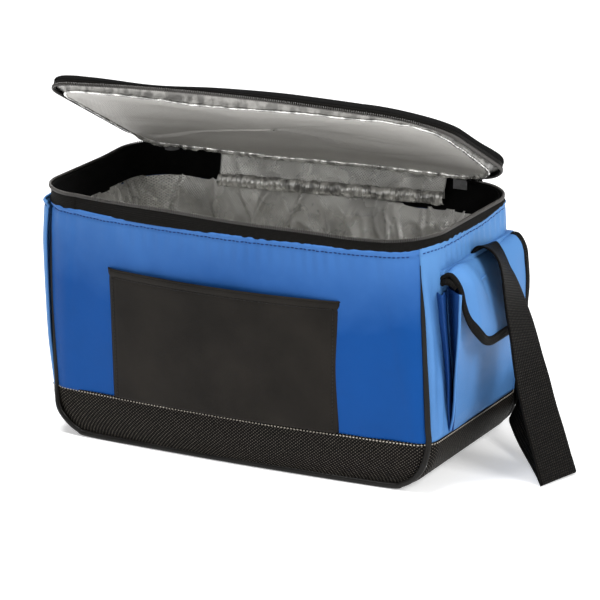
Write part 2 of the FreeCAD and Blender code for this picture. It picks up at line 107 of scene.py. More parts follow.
def ridges(P, scale, seed):
    """Sharp creases, 0..1, as in a crumpled film."""
    warp = np.stack([value_noise(P, np.asarray(scale) * 1.6, seed + k) for k in (11, 12, 13)], -1)
    q = P + warp * np.asarray(scale) * 0.45
    return 1 - np.abs(value_noise(q, scale, seed)) * 1.4


# ---------------------------------------------------------------- meshes
def normals(P, closed=False):
    if closed:
        du = np.roll(P, -1, 1) - np.roll(P, 1, 1)
    else:
        du = np.gradient(P, axis=1)
    dv = np.gradient(P, axis=0)
    n = np.cross(du, dv)
    return n / np.maximum(np.linalg.norm(n, axis=-1, keepdims=True), 1e-9)


def make(name, verts, faces, mat, uv=None):
    mesh = bpy.data.meshes.new(name)
    verts = np.asarray(verts, float).reshape(-1, 3) * MM
    mesh.from_pydata(verts.tolist(), [], [list(map(int, f)) for f in faces])
    if uv is not None:
        layer = mesh.uv_layers.new(name="UVMap")
        idx = np.zeros(len(mesh.loops), np.int32)
        mesh.loops.foreach_get("vertex_index", idx)
        layer.data.foreach_set("uv", np.asarray(uv, np.float32)[idx].ravel())
    mesh.validate()
    mesh.shade_smooth()
    obj = bpy.data.objects.new(name, mesh)
    bpy.context.scene.collection.objects.link(obj)
    mesh.materials.append(MATS[mat])
    return obj


def grid_faces(R, C, closed, base=0, flip=False):
    r, c = np.meshgrid(np.arange(R - 1), np.arange(C if closed else C - 1), indexing="ij")
    a = base + r * C + c
    b = base + r * C + (c + 1) % C
    d = b + C
    e = a + C
    return np.stack([a, e, d, b] if flip else [a, b, d, e], -1).reshape(-1, 4)


def cloth(name, P, mat, thick=1.0, closed=False, inward=None):
    """A sheet with real thickness.

    P is its outer face, as rows by columns of points, and the back lies thick behind it.
    inward is a point on the back's side, for a sheet whose rows may run either way."""
    R, C = P.shape[:2]
    n = normals(P, closed)
    flipped = inward is not None and np.sum((P - inward) * n) < 0
    if flipped:
        n = -n
    Q = P - n * thick
    faces = [grid_faces(R, C, closed, 0, flipped), grid_faces(R, C, closed, R * C, not flipped)]
    edge = []

    def stitch(i, j):
        edge.append([i, j, j + R * C, i + R * C] if flipped else [j, i, i + R * C, j + R * C])

    for c in range(C if closed else C - 1):
        c2 = (c + 1) % C
        stitch(c, c2)
        stitch((R - 1) * C + c2, (R - 1) * C + c)
    if not closed:
        for r in range(R - 1):
            stitch((r + 1) * C, r * C)
            stitch(r * C + C - 1, (r + 1) * C + C - 1)
    faces.append(np.array(edge))
    du = np.linalg.norm(np.diff(P, axis=1), axis=-1)
    dv = np.linalg.norm(np.diff(P, axis=0), axis=-1)
    u = np.concatenate([[0], np.cumsum(du.mean(0))])
    v = np.concatenate([[0], np.cumsum(dv.mean(1))])
    U, V = np.meshgrid(u, v)
    uv = np.stack([U, V], -1).reshape(-1, 2) * MM
    verts = np.concatenate([P.reshape(-1, 3), Q.reshape(-1, 3)])
    return make(name, verts, np.concatenate(faces), mat, np.concatenate([uv, uv]))


def resample(path, step=None, count=None, closed=False):
    path = np.asarray(path, float)
    if closed:
        path = np.concatenate([path, path[:1]])
    s = lengths(path)
    n = count or max(2, int(round(s[-1] / step)) + 1)
    t = LIN(0, s[-1], n)
    out = np.stack([np.interp(t, s, path[:, k]) for k in range(3)], 1)
    return out[:-1] if closed else out


def spline(points, n):
    """Catmull-Rom through the points (any number of columns), n samples per span."""
    p = np.asarray(points, float)
    p = np.concatenate([[2 * p[0] - p[1]], p, [2 * p[-1] - p[-2]]])
    out = []
    for i in range(1, len(p) - 2):
        t = LIN(0, 1, n, endpoint=False)[:, None]
        a, b, c, d = p[i - 1:i + 3]
        out.append(0.5 * (2 * b + (c - a) * t + (2 * a - 5 * b + 4 * c - d) * t ** 2
                          + (3 * b - a - 3 * c + d) * t ** 3))
    out.append(p[-2][None])
    return np.concatenate(out)


def tube(name, path, radius, mat, sides=14, closed=False):
    """Round cord along a path. radius is a number, or one per point."""
    path = np.asarray(path, float)
    if closed:
        tan = np.roll(path, -1, 0) - np.roll(path, 1, 0)
    else:
        tan = np.gradient(path, axis=0)
    tan /= np.linalg.norm(tan, axis=1, keepdims=True)
    up = np.array([0.0, 0.0, 1.0]) if abs(tan[0][2]) < 0.9 else np.array([0.0, 1.0, 0.0])
    frame_n = []
    n = np.cross(np.cross(tan[0], up), tan[0])
    for t in tan:
        n = n - t * (n @ t)
        n /= np.linalg.norm(n)
        frame_n.append(n)
    frame_n = np.array(frame_n)
    frame_b = np.cross(tan, frame_n)
    th = LIN(0, 2 * math.pi, sides, endpoint=False)
    rad = np.broadcast_to(np.asarray(radius, float), (len(path),))
    P = path[:, None] + rad[:, None, None] * (
        np.cos(th)[None, :, None] * frame_n[:, None] + np.sin(th)[None, :, None] * frame_b[:, None])
    R = len(path)
    if closed:
        P = np.concatenate([P, P[:1]])
        R += 1
    faces = grid_faces(R, sides, True).tolist()
    s = lengths(path)
    s = np.append(s, s[-1] + 1)[:R]
    uv = np.stack([np.tile(th * np.mean(rad), R), np.repeat(s, sides)], -1) * MM
    if not closed:
        faces += [list(range(sides))[::-1], [(R - 1) * sides + i for i in range(sides)]]
    return make(name, P.reshape(-1, 3), faces, mat, uv)


def instances(name, centres, axes, mat, length, r1, r2):
    """Many small rounded rods in one mesh: axes holds (along, outward) for each."""
    sides = 6
    th = LIN(0, 2 * math.pi, sides, endpoint=False)
    rings = [(-0.5, 0.45), (-0.36, 0.95), (0.0, 1.08), (0.36, 0.95), (0.5, 0.45)]
    verts, faces = [], []
    per = sides * len(rings)
    local = grid_faces(len(rings), sides, True).tolist()
    local += [list(range(sides))[::-1], [per - sides + i for i in range(sides)]]
    for c, (a, o) in zip(np.asarray(centres, float), axes):
        a = a / np.linalg.norm(a)
        o = o - a * (a @ o)
        o /= np.linalg.norm(o)
        b = np.cross(a, o)
        base = len(verts) * per
        verts.append(np.concatenate([
            c + a * (t * length) + k * (r1 * np.cos(th)[:, None] * o + r2 * np.sin(th)[:, None] * b)
            for t, k in rings]))
        faces += [[base + i for i in f] for f in local]
    return make(name, np.concatenate(verts), faces, mat)


# kinds of stitching: thread, pitch, stitch length and thread radius
PANEL_STITCH = dict(mat="thread_blue", pitch=3.2, length=2.1, r=0.36)
BAND_STITCH = dict(mat="thread_beige", pitch=2.5, length=1.3, r=0.36)
POCKET_STITCH = dict(mat="thread", pitch=2.8, length=1.9, r=0.28)
STITCH_SINK = 0.1     # how deep a stitch sits in the cloth


def stitches(name, path, out, mat, pitch, length, r):
    """A row of thread stitches on a surface, along a path with an outward direction at each point."""
    s = lengths(path)
    t = np.arange(pitch / 2, s[-1], pitch)

    def along(values, shift=0.0):
        return np.stack([np.interp(t + shift, s, values[:, k]) for k in range(3)], 1)

    run, out = along(path, 0.5) - along(path, -0.5), along(out)
    centres = along(path) + out * (r - STITCH_SINK)
    return instances(name, centres, list(zip(run, out)), mat, length, r, r * 1.25)


def finish_piece(obj, body, nodes=()):
    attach(obj, body)
    if nodes:
        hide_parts(*nodes)
    return obj


# ---------------------------------------------------------------- materials
MATS = {}


def material(name, colour, rough, metallic=0.0, spec=0.5):
    m = bpy.data.materials.new(name)
    m.use_nodes = True
    b = m.node_tree.nodes["Principled BSDF"]
    b.inputs["Base Color"].default_value = (*colour, 1)
    b.inputs["Roughness"].default_value = rough
    b.inputs["Metallic"].default_value = metallic
    b.inputs["Specular IOR Level"].default_value = spec
    MATS[name] = m
    return m.node_tree, b


def node(tree, kind, **values):
    n = tree.nodes.new(kind)
    for k, v in values.items():
        if hasattr(n, k):
            setattr(n, k, v)
        else:
            n.inputs[k].default_value = v
    return n


def math_node(tree, op, a, b=None):
    n = tree.nodes.new("ShaderNodeMath")
    n.operation = op
    for i, v in enumerate((a, b)):
        if v is None:
            continue
        if isinstance(v, (int, float)):
            n.inputs[i].default_value = v
        else:
            tree.links.new(v, n.inputs[i])
    return n.outputs[0]


def coords(tree, uv):
    if uv:
        return node(tree, "ShaderNodeUVMap", uv_map="UVMap").outputs[0]
    return node(tree, "ShaderNodeTexCoord").outputs["Object"]


def scaled(tree, vector, scale):
    m = node(tree, "ShaderNodeMapping", Scale=scale)
    tree.links.new(vector, m.inputs["Vector"])
    return m.outputs[0]


def noise(tree, vector, scale, detail=3.0, rough=0.55):
    n = node(tree, "ShaderNodeTexNoise", Scale=scale, Detail=detail, Roughness=rough)
    tree.links.new(vector, n.inputs["Vector"])
    return n.outputs["Fac"]


def weave_height(tree, vector, pu, pv, kind="plain"):
    """Height of a woven pattern with pitches pu and pv in metres: a plain weave, diamonds, or dots."""
    sep = tree.nodes.new("ShaderNodeSeparateXYZ")
    tree.links.new(vector, sep.inputs[0])
    u = math_node(tree, "MULTIPLY", sep.outputs[0], math.pi / pu)
    v = math_node(tree, "MULTIPLY", sep.outputs[1], math.pi / pv)
    if kind != "plain":
        u, v = math_node(tree, "ADD", u, v), math_node(tree, "SUBTRACT", u, v)
    a, b = (math_node(tree, "ABSOLUTE", math_node(tree, "SINE", w)) for w in (u, v))
    return math_node(tree, "MAXIMUM" if kind == "diamond" else "MULTIPLY", a, b)


def mix_colour(tree, fac, a, b):
    m = tree.nodes.new("ShaderNodeMix")
    m.data_type = "RGBA"
    tree.links.new(fac, m.inputs["Factor"])
    for i, v in ((6, a), (7, b)):
        if isinstance(v, tuple):
            m.inputs[i].default_value = (*v, 1)
        else:
            tree.links.new(v, m.inputs[i])
    return m.outputs[2]


def remap(tree, value, lo, hi, a=0.0, b=1.0):
    m = tree.nodes.new("ShaderNodeMapRange")
    m.inputs["From Min"].default_value = lo
    m.inputs["From Max"].default_value = hi
    m.inputs["To Min"].default_value = a
    m.inputs["To Max"].default_value = b
    tree.links.new(value, m.inputs["Value"])
    return m.outputs[0]


def bump(tree, bsdf, layers):
    """Chain of (height, distance in metres, strength)."""
    last = None
    for height, distance, strength in layers:
        b = node(tree, "ShaderNodeBump", Distance=distance, Strength=strength)
        tree.links.new(height, b.inputs["Height"])
        if last:
            tree.links.new(last, b.inputs["Normal"])
        last = b.outputs[0]
    tree.links.new(last, bsdf.inputs["Normal"])


def nylon(name, colour, dark, painted_sheen, sheen_heights):
    """Coated nylon: cloudy tone, a faint weave, and a paler tone toward the top that is painted sheen.

    The last argument holds the lowest and highest z of that painted sheen, in metres."""
    t, b = material(name, colour, 0.45, spec=0.09)
    obj, uv = coords(t, False), coords(t, True)
    cloud = noise(t, obj, 18.0, 4.0)
    col = mix_colour(t, remap(t, cloud, 0.35, 0.7), dark, colour)
    sep = t.nodes.new("ShaderNodeSeparateXYZ")
    t.links.new(obj, sep.inputs[0])
    height = math_node(t, "ADD", sep.outputs[2], math_node(t, "MULTIPLY", cloud, 0.05))
    # painted sheen: toward the top the colour turns to the lighter one, standing in for the light's sheen on
    # the upper cloth
    col = mix_colour(t, remap(t, height, sheen_heights[0] + 0.025, sheen_heights[1] + 0.025), col, painted_sheen)
    weave = weave_height(t, uv, 0.0006, 0.0006)
    col = mix_colour(t, remap(t, weave, 0.0, 1.0, 0.0, 0.04), col, (0.04, 0.26, 0.65))
    t.links.new(col, b.inputs["Base Color"])
    t.links.new(remap(t, cloud, 0.3, 0.7, 0.40, 0.52), b.inputs["Roughness"])
    bump(t, b, [(noise(t, obj, 60.0, 3.0), 0.0012, 0.25), (noise(t, obj, 300.0, 2.0), 0.0003, 0.2),
                (weave, 0.00012, 0.5)])


def black_cloth(name, colour, rough, pu, pv, amount, fleck=(0.10, 0.095, 0.085), depth=0.0003, spec=0.05):
    """Black woven cloth with pitches pu and pv. Its threads' tips take the fleck colour, by amount."""
    t, b = material(name, colour, rough, spec=spec)
    uv, obj = coords(t, True), coords(t, False)
    weave = weave_height(t, uv, pu, pv)
    var = noise(t, obj, 900.0, 2.0)
    fac = math_node(t, "MULTIPLY", remap(t, weave, 0.68, 1.0, 0.0, amount), remap(t, var, 0.35, 0.65))
    t.links.new(mix_colour(t, fac, colour, fleck), b.inputs["Base Color"])
    bump(t, b, [(noise(t, obj, 90.0, 3.0), 0.0006, 0.25), (weave, depth, 0.8)])


def mesh_cloth(name):
    """Coarse dobby weave: rows of raised dots, each row shifted by half a step, with a painted highlight on
    the dots' tops.
    """
    # painted highlight: the dots' raised tops take a pale colour where light would catch them
    ground, painted_highlight = (0.003, 0.0026, 0.0022), (0.125, 0.110, 0.092)
    t, b = material(name, (0.010, 0.009, 0.008), 0.55, spec=0.06)
    uv, obj = coords(t, True), coords(t, False)
    dots = weave_height(t, uv, 0.0027, 0.0024, "dots")
    var = noise(t, obj, 500.0, 2.0)
    fac = math_node(t, "MULTIPLY", remap(t, dots, 0.62, 0.95, 0.0, 0.9), remap(t, var, 0.3, 0.6, 0.45, 1.0))
    t.links.new(mix_colour(t, fac, ground, painted_highlight), b.inputs["Base Color"])
    bump(t, b, [(noise(t, obj, 40.0, 2.0), 0.0008, 0.2), (dots, 0.0007, 0.9)])


def vinyl(name, colour, rough, grain, depth, spec=0.5):
    """A cloudy coloured stuff with a fine grain: vinyl, thread, foam and board."""
    t, b = material(name, colour, rough, spec=spec)
    obj = coords(t, False)
    v = node(t, "ShaderNodeTexVoronoi", Scale=grain)
    v.feature = "SMOOTH_F1"
    t.links.new(obj, v.inputs["Vector"])
    cloud = noise(t, obj, 22.0, 5.0)
    light = tuple(min(1.0, c * 1.8 + 0.003) for c in colour)
    t.links.new(mix_colour(t, remap(t, cloud, 0.35, 0.7), colour, light), b.inputs["Base Color"])
    t.links.new(remap(t, cloud, 0.3, 0.7, rough - 0.06, rough + 0.08), b.inputs["Roughness"])
    bump(t, b, [(noise(t, obj, 50.0, 3.0), 0.0008, 0.25), (v.outputs["Distance"], depth, 0.5)])


def foil(name, colour, rough, pitch, depth, wrinkle, metal_share, spec=0.5,
         patches=(26.0, 26.0, 18.0), shade=0.5):
    """Metallised film, smooth or embossed with diamonds of the given pitch.

    patches is how many tone patches there are to a metre each way, and shade how dark they get."""
    t, b = material(name, colour, rough, metallic=metal_share, spec=spec)
    uv, obj = coords(t, True), coords(t, False)
    layers = [(noise(t, obj, 45.0, 5.0, 0.6), 0.002, wrinkle), (noise(t, obj, 170.0, 3.0), 0.0006, wrinkle)]
    if pitch:
        weave = weave_height(t, uv, pitch, pitch, "diamond")
        layers.append((weave, depth, 0.8))
        col = mix_colour(t, remap(t, weave, 0.45, 1.0), tuple(c * 0.42 for c in colour), colour)
    else:
        col = mix_colour(t, noise(t, obj, 30.0, 4.0), tuple(c * 0.85 for c in colour), colour)
    tone = noise(t, scaled(t, obj, patches), 1.0, 4.0, 0.5)
    col = mix_colour(t, remap(t, tone, 0.42, 0.57), tuple(c * shade for c in colour), col)
    t.links.new(col, b.inputs["Base Color"])
    smear = noise(t, obj, 60.0, 3.0)
    t.links.new(remap(t, smear, 0.3, 0.7, rough - 0.06, rough + 0.1), b.inputs["Roughness"])
    bump(t, b, layers)


# the front's fourth colour is its painted sheen toward the top
nylon("blue_front", (0.002, 0.058, 0.255), (0.001, 0.051, 0.225), (0.048, 0.150, 0.405), (0.115, 0.175))
# painted light: the sides, side pocket and flap are the same nylon as the front, in a much lighter copy for
# the light that falls on that side
nylon("blue_side_painted_light", (0.092, 0.235, 0.515), (0.072, 0.195, 0.44), (0.092, 0.235, 0.50), (0.10, 0.17))
# painted shade: a darker copy of the same nylon, for the deep folds of the pocket's bellows and the lining's
# edge
nylon("blue_painted_shade", (0.008, 0.040, 0.160), (0.005, 0.028, 0.12), (0.012, 0.05, 0.19), (0.10, 0.15))
mesh_cloth("mesh_band")
vinyl("piping_vinyl", (0.0035, 0.003, 0.0025), 0.36, 900.0, 0.00008, spec=0.16)
vinyl("pocket_vinyl", (0.0070, 0.0056, 0.0042), 0.50, 1500.0, 0.00015, spec=0.09)
foil("foil_lining", (1.0, 0.99, 0.95), 0.25, 0.0022, 0.0005, 0.8, 0.56, shade=0.52)
foil("foil_lid", (0.76, 0.74, 0.705), 0.62, 0.0011, 0.00010, 0.35, 0.12, spec=0.12,
     patches=(7.0, 34.0, 34.0), shade=0.78)
foil("foil_edge", (1.0, 0.99, 0.95), 0.22, None, 0.0, 0.9, 0.72, patches=(160.0, 160.0, 120.0), shade=0.35)
# painted shade: a darker copy of the edge foil, for the pad's sewn border under the lid
foil("foil_border_painted_shade", (0.36, 0.35, 0.33), 0.36, None, 0.0, 0.9, 0.6, patches=(160.0, 160.0, 120.0), shade=0.5)
black_cloth("tape", (0.006, 0.0056, 0.005), 0.62, 0.0010, 0.0010, 0.2)
black_cloth("facing", (0.004, 0.004, 0.004), 0.8, 0.0011, 0.0011, 0.05)
black_cloth("webbing", (0.003, 0.0027, 0.0024), 0.55, 0.0022, 0.0019, 0.9, (0.060, 0.052, 0.042), 0.0006)
black_cloth("binding", (0.006, 0.0056, 0.005), 0.6, 0.0012, 0.0020, 0.6, (0.045, 0.040, 0.035), 0.0005)
black_cloth("hook_loop", (0.004, 0.004, 0.004), 0.9, 0.0008, 0.0008, 0.3, depth=0.0005)
black_cloth("lid_fabric", (0.010, 0.010, 0.010), 0.8, 0.0007, 0.0007, 0.15, depth=0.0001, spec=0.0)
vinyl("coil", (0.036, 0.033, 0.030), 0.28, 2000.0, 0.00003, spec=0.7)
vinyl("thread", (0.008, 0.0075, 0.007), 0.5, 3000.0, 0.00005, spec=0.15)
vinyl("thread_blue", (0.004, 0.022, 0.10), 0.55, 3000.0, 0.00005, spec=0.2)
vinyl("thread_beige", (0.26, 0.235, 0.20), 0.6, 3000.0, 0.00005, spec=0.3)
vinyl("foam", (0.55, 0.56, 0.58), 0.8, 700.0, 0.0003)
vinyl("board", (0.12, 0.115, 0.11), 0.7, 400.0, 0.0002)


def metal(name, colour, rough):
    t, b = material(name, colour, rough, metallic=0.85)
    n = noise(t, coords(t, False), 260.0, 4.0)
    worn = tuple(c * 1.5 for c in colour)
    t.links.new(mix_colour(t, remap(t, n, 0.4, 0.7), colour, worn), b.inputs["Base Color"])
    t.links.new(remap(t, n, 0.3, 0.7, rough - 0.08, rough + 0.12), b.inputs["Roughness"])
    bump(t, b, [(n, 0.0001, 0.3)])


metal("gunmetal", (0.16, 0.16, 0.165), 0.38)

# ---------------------------------------------------------------- body surfaces
NC = 12        # points in each corner's share of a panel


def u_limit(z):
    """How far the rounded lower ends pull the wall in at height z."""
    k = np.clip(END_R - np.asarray(z, float), 0, END_R)
    return END_R - np.sqrt(END_R ** 2 - k ** 2)


def front_rows(zs, n_mid, back=False):
    """Outer face of the front (or back) panel, from its left seam to its right seam, one row per height."""
    rows = []
    for z in zs:
        d = dims(z)
        pull = float(u_limit(z))
        l, r = d["l"] + pull, d["r"] - pull
        edge, c = (d["b"], d["cb"]) if back else (d["f"], d["cf"])
        sgn = 1 if back else -1
        bow = 0 if back else d["bow"]
        a = LIN(SEAM_ANGLE, 0, NC, endpoint=False)
        left = np.stack([l + c - c * np.sin(a), edge - sgn * c + sgn * c * np.cos(a)], 1)
        x = LIN(l + c, r - c, n_mid)
        mid, half = (l + r) / 2, (r - l) / 2 - c
        y = edge + sgn * bow * (1 - ((x - mid) / half) ** 2)
        right = np.stack([r - c + c * np.sin(a), edge - sgn * c + sgn * c * np.cos(a)], 1)[::-1]
        row = np.concatenate([left, np.stack([x, y], 1), right])
        rows.append(xyz(*row.T, z))
    return np.array(rows)


def side_row(z, n_mid):
    """Distance in from the wall, and y, across a side from its front seam to its back seam."""
    d = dims(z)
    a = LIN(math.pi / 2 - SEAM_ANGLE, 0, NC, endpoint=False)
    cf, cb = d["cf"], d["cb"]
    front = np.stack([cf - cf * np.cos(a), d["f"] + cf - cf * np.sin(a)], 1)
    y = LIN(d["f"] + cf, d["b"] - cb, n_mid)
    back = np.stack([cb - cb * np.cos(a), d["b"] - cb + cb * np.sin(a)], 1)[::-1]
    return np.concatenate([front, np.stack([np.zeros(n_mid), y], 1), back])


def gusset_rows(stations, n_mid):
    """Outer face of the gusset. A station is (side, z) on a wall, (side, 'arc', degrees), or ('floor', x)."""
    rows = []
    wall = dims(END_R)
    for s in stations:
        if s[0] == "floor":
            p = side_row(0.0, n_mid)
            rows.append(xyz(s[1], p[:, 1], p[:, 0]))
        elif s[1] == "arc":
            ang = math.radians(s[2])
            z = END_R * (1 - math.sin(ang))
            p = side_row(z, n_mid)
            cx = (wall["l"] + END_R) if s[0] < 0 else (wall["r"] - END_R)
            x = cx + s[0] * (END_R - p[:, 0]) * math.cos(ang)
            rows.append(xyz(x, p[:, 1], END_R - (END_R - p[:, 0]) * math.sin(ang)))
        else:
            d = dims(s[1])
            p = side_row(s[1], n_mid)
            x = (d["l"] + p[:, 0]) if s[0] < 0 else (d["r"] - p[:, 0])
            rows.append(xyz(x, p[:, 1], s[1]))
    return np.array(rows)


CENTRE = np.array([0.0, 0.0, 90.0])


def outward(P, closed=False):
    n = normals(P, closed)
    return n if np.sum((P - CENTRE) * n) > 0 else -n


BAND_TOP = 36.0
PANEL_TOP = 174.4
STITCH_DROP = 4.2     # the panels' top stitching is this far below their top


def rim_wave(P):
    """Points of the level bag, moved as the soft rim rises and dips, with the panels' top edge below it."""
    x, y, z = P[..., 0], P[..., 1], P[..., 2]
    front = ramp(y, -40, -76)
    dip = np.exp(-((x - 106) / 34) ** 2) * front
    rim = 2.0 * np.exp(-((x + 45) / 55) ** 2) * front - 2.8 * dip
    seam = (-1.1 * ramp(x, 0, -110) - 1.4 * dip) * front
    seam = seam + ramp(x, 132, 147) * (2.2 + 3.2 * ramp(y, 5, 50)) * ramp(y, 74, 60)
    upper = ramp(z, 176, 182)
    lift = upper * rim + (1 - upper) * seam * ramp(z, 140, 172)
    lift = lift + 3.0 * ramp(y, 10, 80) * ramp(x, 20, -110) * ramp(z, 150, 183)
    return P + xyz(0, 0, lift)


zs_panel = np.concatenate([LIN(BAND_TOP - 1.0, 150, 46), LIN(152, PANEL_TOP, 16)])


def gathers(P):
    """Small vertical puckers that hang below the top stitching."""
    top, pitch = PANEL_TOP, 9.0
    s = P[..., 0] * 0.9 + P[..., 1] * 1.1
    wobble = value_noise(P, (40, 40, 60), 5) * 6
    wave = np.sin((s + wobble) * 2 * math.pi / pitch) * (0.5 + 0.5 * value_noise(P, (23, 23, 60), 8))
    return wave * ramp(P[..., 2], top - 30, top - 7) * (1 - 0.5 * ramp(P[..., 2], top - 3, top))


def soft_folds(P, seed):
    return 0.9 * (value_noise(P, (34, 34, 95), seed) + 0.5 * value_noise(P, (15, 15, 48), seed + 1))


def panel_shape(P, seed):
    """How far a panel's cloth stands out from the plain wall: it bulges, rolls in at the top and folds."""
    z = P[..., 2]
    puff = 1.3 * np.sin(np.clip((z - BAND_TOP) / (PANEL_TOP - BAND_TOP), 0, 1) * math.pi)
    roll = 0.9 * ramp(z, PANEL_TOP - 5, PANEL_TOP - 1.5) * (1 - ramp(z, PANEL_TOP - 0.8, PANEL_TOP))
    groove = -0.9 * np.exp(-(z - (PANEL_TOP - STITCH_DROP)) ** 2)
    return 0.4 + puff + roll + groove + soft_folds(P, seed) + 0.75 * gathers(P)


def shaped(P, d):
    return rim_wave(P + outward(P) * d[..., None])


def row_stitches(name, P, i, trim, drop, kind):
    """Stitches along row i of a body panel, short of its ends by trim points and below the row by drop."""
    path = P[i, trim:-trim] - np.array([0, 0, drop])
    finish_piece(stitches(name, path, outward(P)[i, trim:-trim], **kind), "bag")


stitch_row = int(np.argmin(np.abs(zs_panel - (PANEL_TOP - STITCH_DROP))))
for node_name, back in (("front_panel", False), ("back_panel", True)):
    P = front_rows(zs_panel, 170, back)
    P = shaped(P, panel_shape(P, 21 if back else 3))
    name = node_name + "_cloth"
    finish_piece(cloth(name, P, "blue_front", 1.3, inward=CENTRE), "bag", [node_name])
    row_stitches(name + "_stitch", P, stitch_row, 2, 0, PANEL_STITCH)


def seam_folds(P, side):
    """Upright folds of the side cloth beside the front seam. The left side bellies out past it."""
    y, z = P[..., 1], P[..., 2]
    middle = ramp(z, BAND_TOP - 8, 75) * ramp(z, 172, 140)
    if side < 0:
        return 5.2 * np.exp(-((y + 67) / 9) ** 2) * (0.7 + 0.3 * middle)
    drift = 3.0 * (z - 100) / 100 + value_noise(P, (60, 60, 50), 33)
    near = 1.5 * np.exp(-((y + 68 + drift) / 2.6) ** 2) - 0.8 * np.exp(-((y + 63 + drift) / 2.4) ** 2)
    low = 1.3 * np.exp(-((y + 58) / 3.0) ** 2) * ramp(z, 90, 55) * ramp(z, BAND_TOP, BAND_TOP + 8)
    return middle * near + low


for side, end in ((-1, "left_side"), (1, "right_side")):
    P = gusset_rows([(side, z) for z in zs_panel], 90)
    P = shaped(P, panel_shape(P, 31 + side) + seam_folds(P, side))
    name = end + "_cloth"
    finish_piece(cloth(name, P, "blue_side_painted_light", 1.3, inward=CENTRE), "bag", [end + "_panel"])
    row_stitches(name + "_stitch", P, stitch_row, 1, 0, PANEL_STITCH)

# mesh bands: front, back, and one gusset strip that runs under the bag
zs_band = np.concatenate([END_R * (1 - np.sin(np.radians(LIN(86, 4, 20)))), LIN(END_R, BAND_TOP, 4)])


def band_shape(P):
    """How far the mesh band stands out from the plain wall."""
    z = P[..., 2]
    puff = 0.5 * np.sin(np.clip(z / BAND_TOP, 0, 1) * math.pi)
    return 0.9 + puff + 0.35 * value_noise(P, (30, 30, 20), 41)


BAND_STITCH_DROP = 1.1
for node_name, back in (("front_band", False), ("back_band", True)):
    P = front_rows(zs_band, 150, back)
    P = shaped(P, band_shape(P))
    P[..., 2] = np.maximum(P[..., 2], 0.5)
    name = node_name + "_cloth"
    finish_piece(cloth(name, P, "mesh_band", 1.4, inward=CENTRE), "bag", [node_name])
    row_stitches(name + "_stitch", P, -1, 1, BAND_STITCH_DROP, BAND_STITCH)

stations = [(-1, z) for z in LIN(BAND_TOP, END_R, 4)] + [(-1, "arc", a) for a in LIN(4, 86, 18)]
stations += [("floor", x) for x in LIN(-116, 116, 40)]
stations += [(1, "arc", a) for a in LIN(86, 4, 18)] + [(1, z) for z in LIN(END_R, BAND_TOP, 4)]
P = gusset_rows(stations, 60)
belly = 3.5 * np.exp(-((P[..., 1] + 66) / 9) ** 2) * ramp(P[..., 0], -120, -146)
P = shaped(P, 0.35 + 0.5 * ramp(P[..., 2], 2, 30) + belly)
P[..., 2] = np.maximum(P[..., 2], 0.15)
finish_piece(cloth("gusset_band_cloth", P, "mesh_band", 1.4, inward=CENTRE), "bag",
             ["left_band", "right_band", "bottom_panel"])
for row, name, side in ((P[0], "left", -1.0), (P[-1], "right", 1.0)):
    path = row[2:-2] - np.array([0, 0, BAND_STITCH_DROP])
    out = np.tile([side, 0, 0], (len(path), 1))
    finish_piece(stitches(name + "_band_stitch", path, out, **BAND_STITCH), "bag")


# piping in the seams
PIPING_Z = 2.4        # height of the cord's middle under the foot


def piping_path(back):
    """Down the left seam, under the foot and up the right seam."""
    out = 1 if back else -1
    pts = []
    for side in (-1, 1):
        run = []
        for z in (163, 152, 140, 120, 100, 80, 60, 46, 36):
            d = dims(z)
            c, edge = (d["cb"], d["b"]) if back else (d["cf"], d["f"])
            reach = c + 1.8 - 0.9 * float(ramp(z, 120, 165))
            wall = d["l"] if side < 0 else d["r"]
            run.append((wall - side * c + side * reach * math.sin(SEAM_ANGLE),
                        edge - out * c + out * reach * math.cos(SEAM_ANGLE), z))
        w = dims(END_R)
        cx = w["l"] + END_R if side < 0 else w["r"] - END_R
        for deg in (22.5, 45, 67.5, 90):
            a = math.radians(deg)
            z = END_R - (END_R - PIPING_Z) * math.sin(a)
            d = dims(z)
            y = (d["b"] + 2.2) if back else (d["f"] - 2.2)
            y -= out * 1.6 * math.cos(a)
            run.append((cx + side * (END_R - PIPING_Z) * math.cos(a), y, z))
        pts.append(run)
    floor = [(x, (75.7 if back else -75.7 - 3.2 * (1 - (x / 118) ** 2)), PIPING_Z) for x in (-60, 0, 60)]
    return spline(pts[0] + floor + pts[1][::-1], 14)


for node_name, back in (("front_piping", False), ("rear_piping", True)):
    path = piping_path(back)
    z = path[:, 2]
    rad = 2.1 - 0.4 * ramp(z, 60, 110) - 1.45 * ramp(z, 118, 162) + 0.05 * value_noise(path, 9.0, 3)
    finish_piece(tube(node_name + "_cord", path, rad, "piping_vinyl", 16), "bag", [node_name])


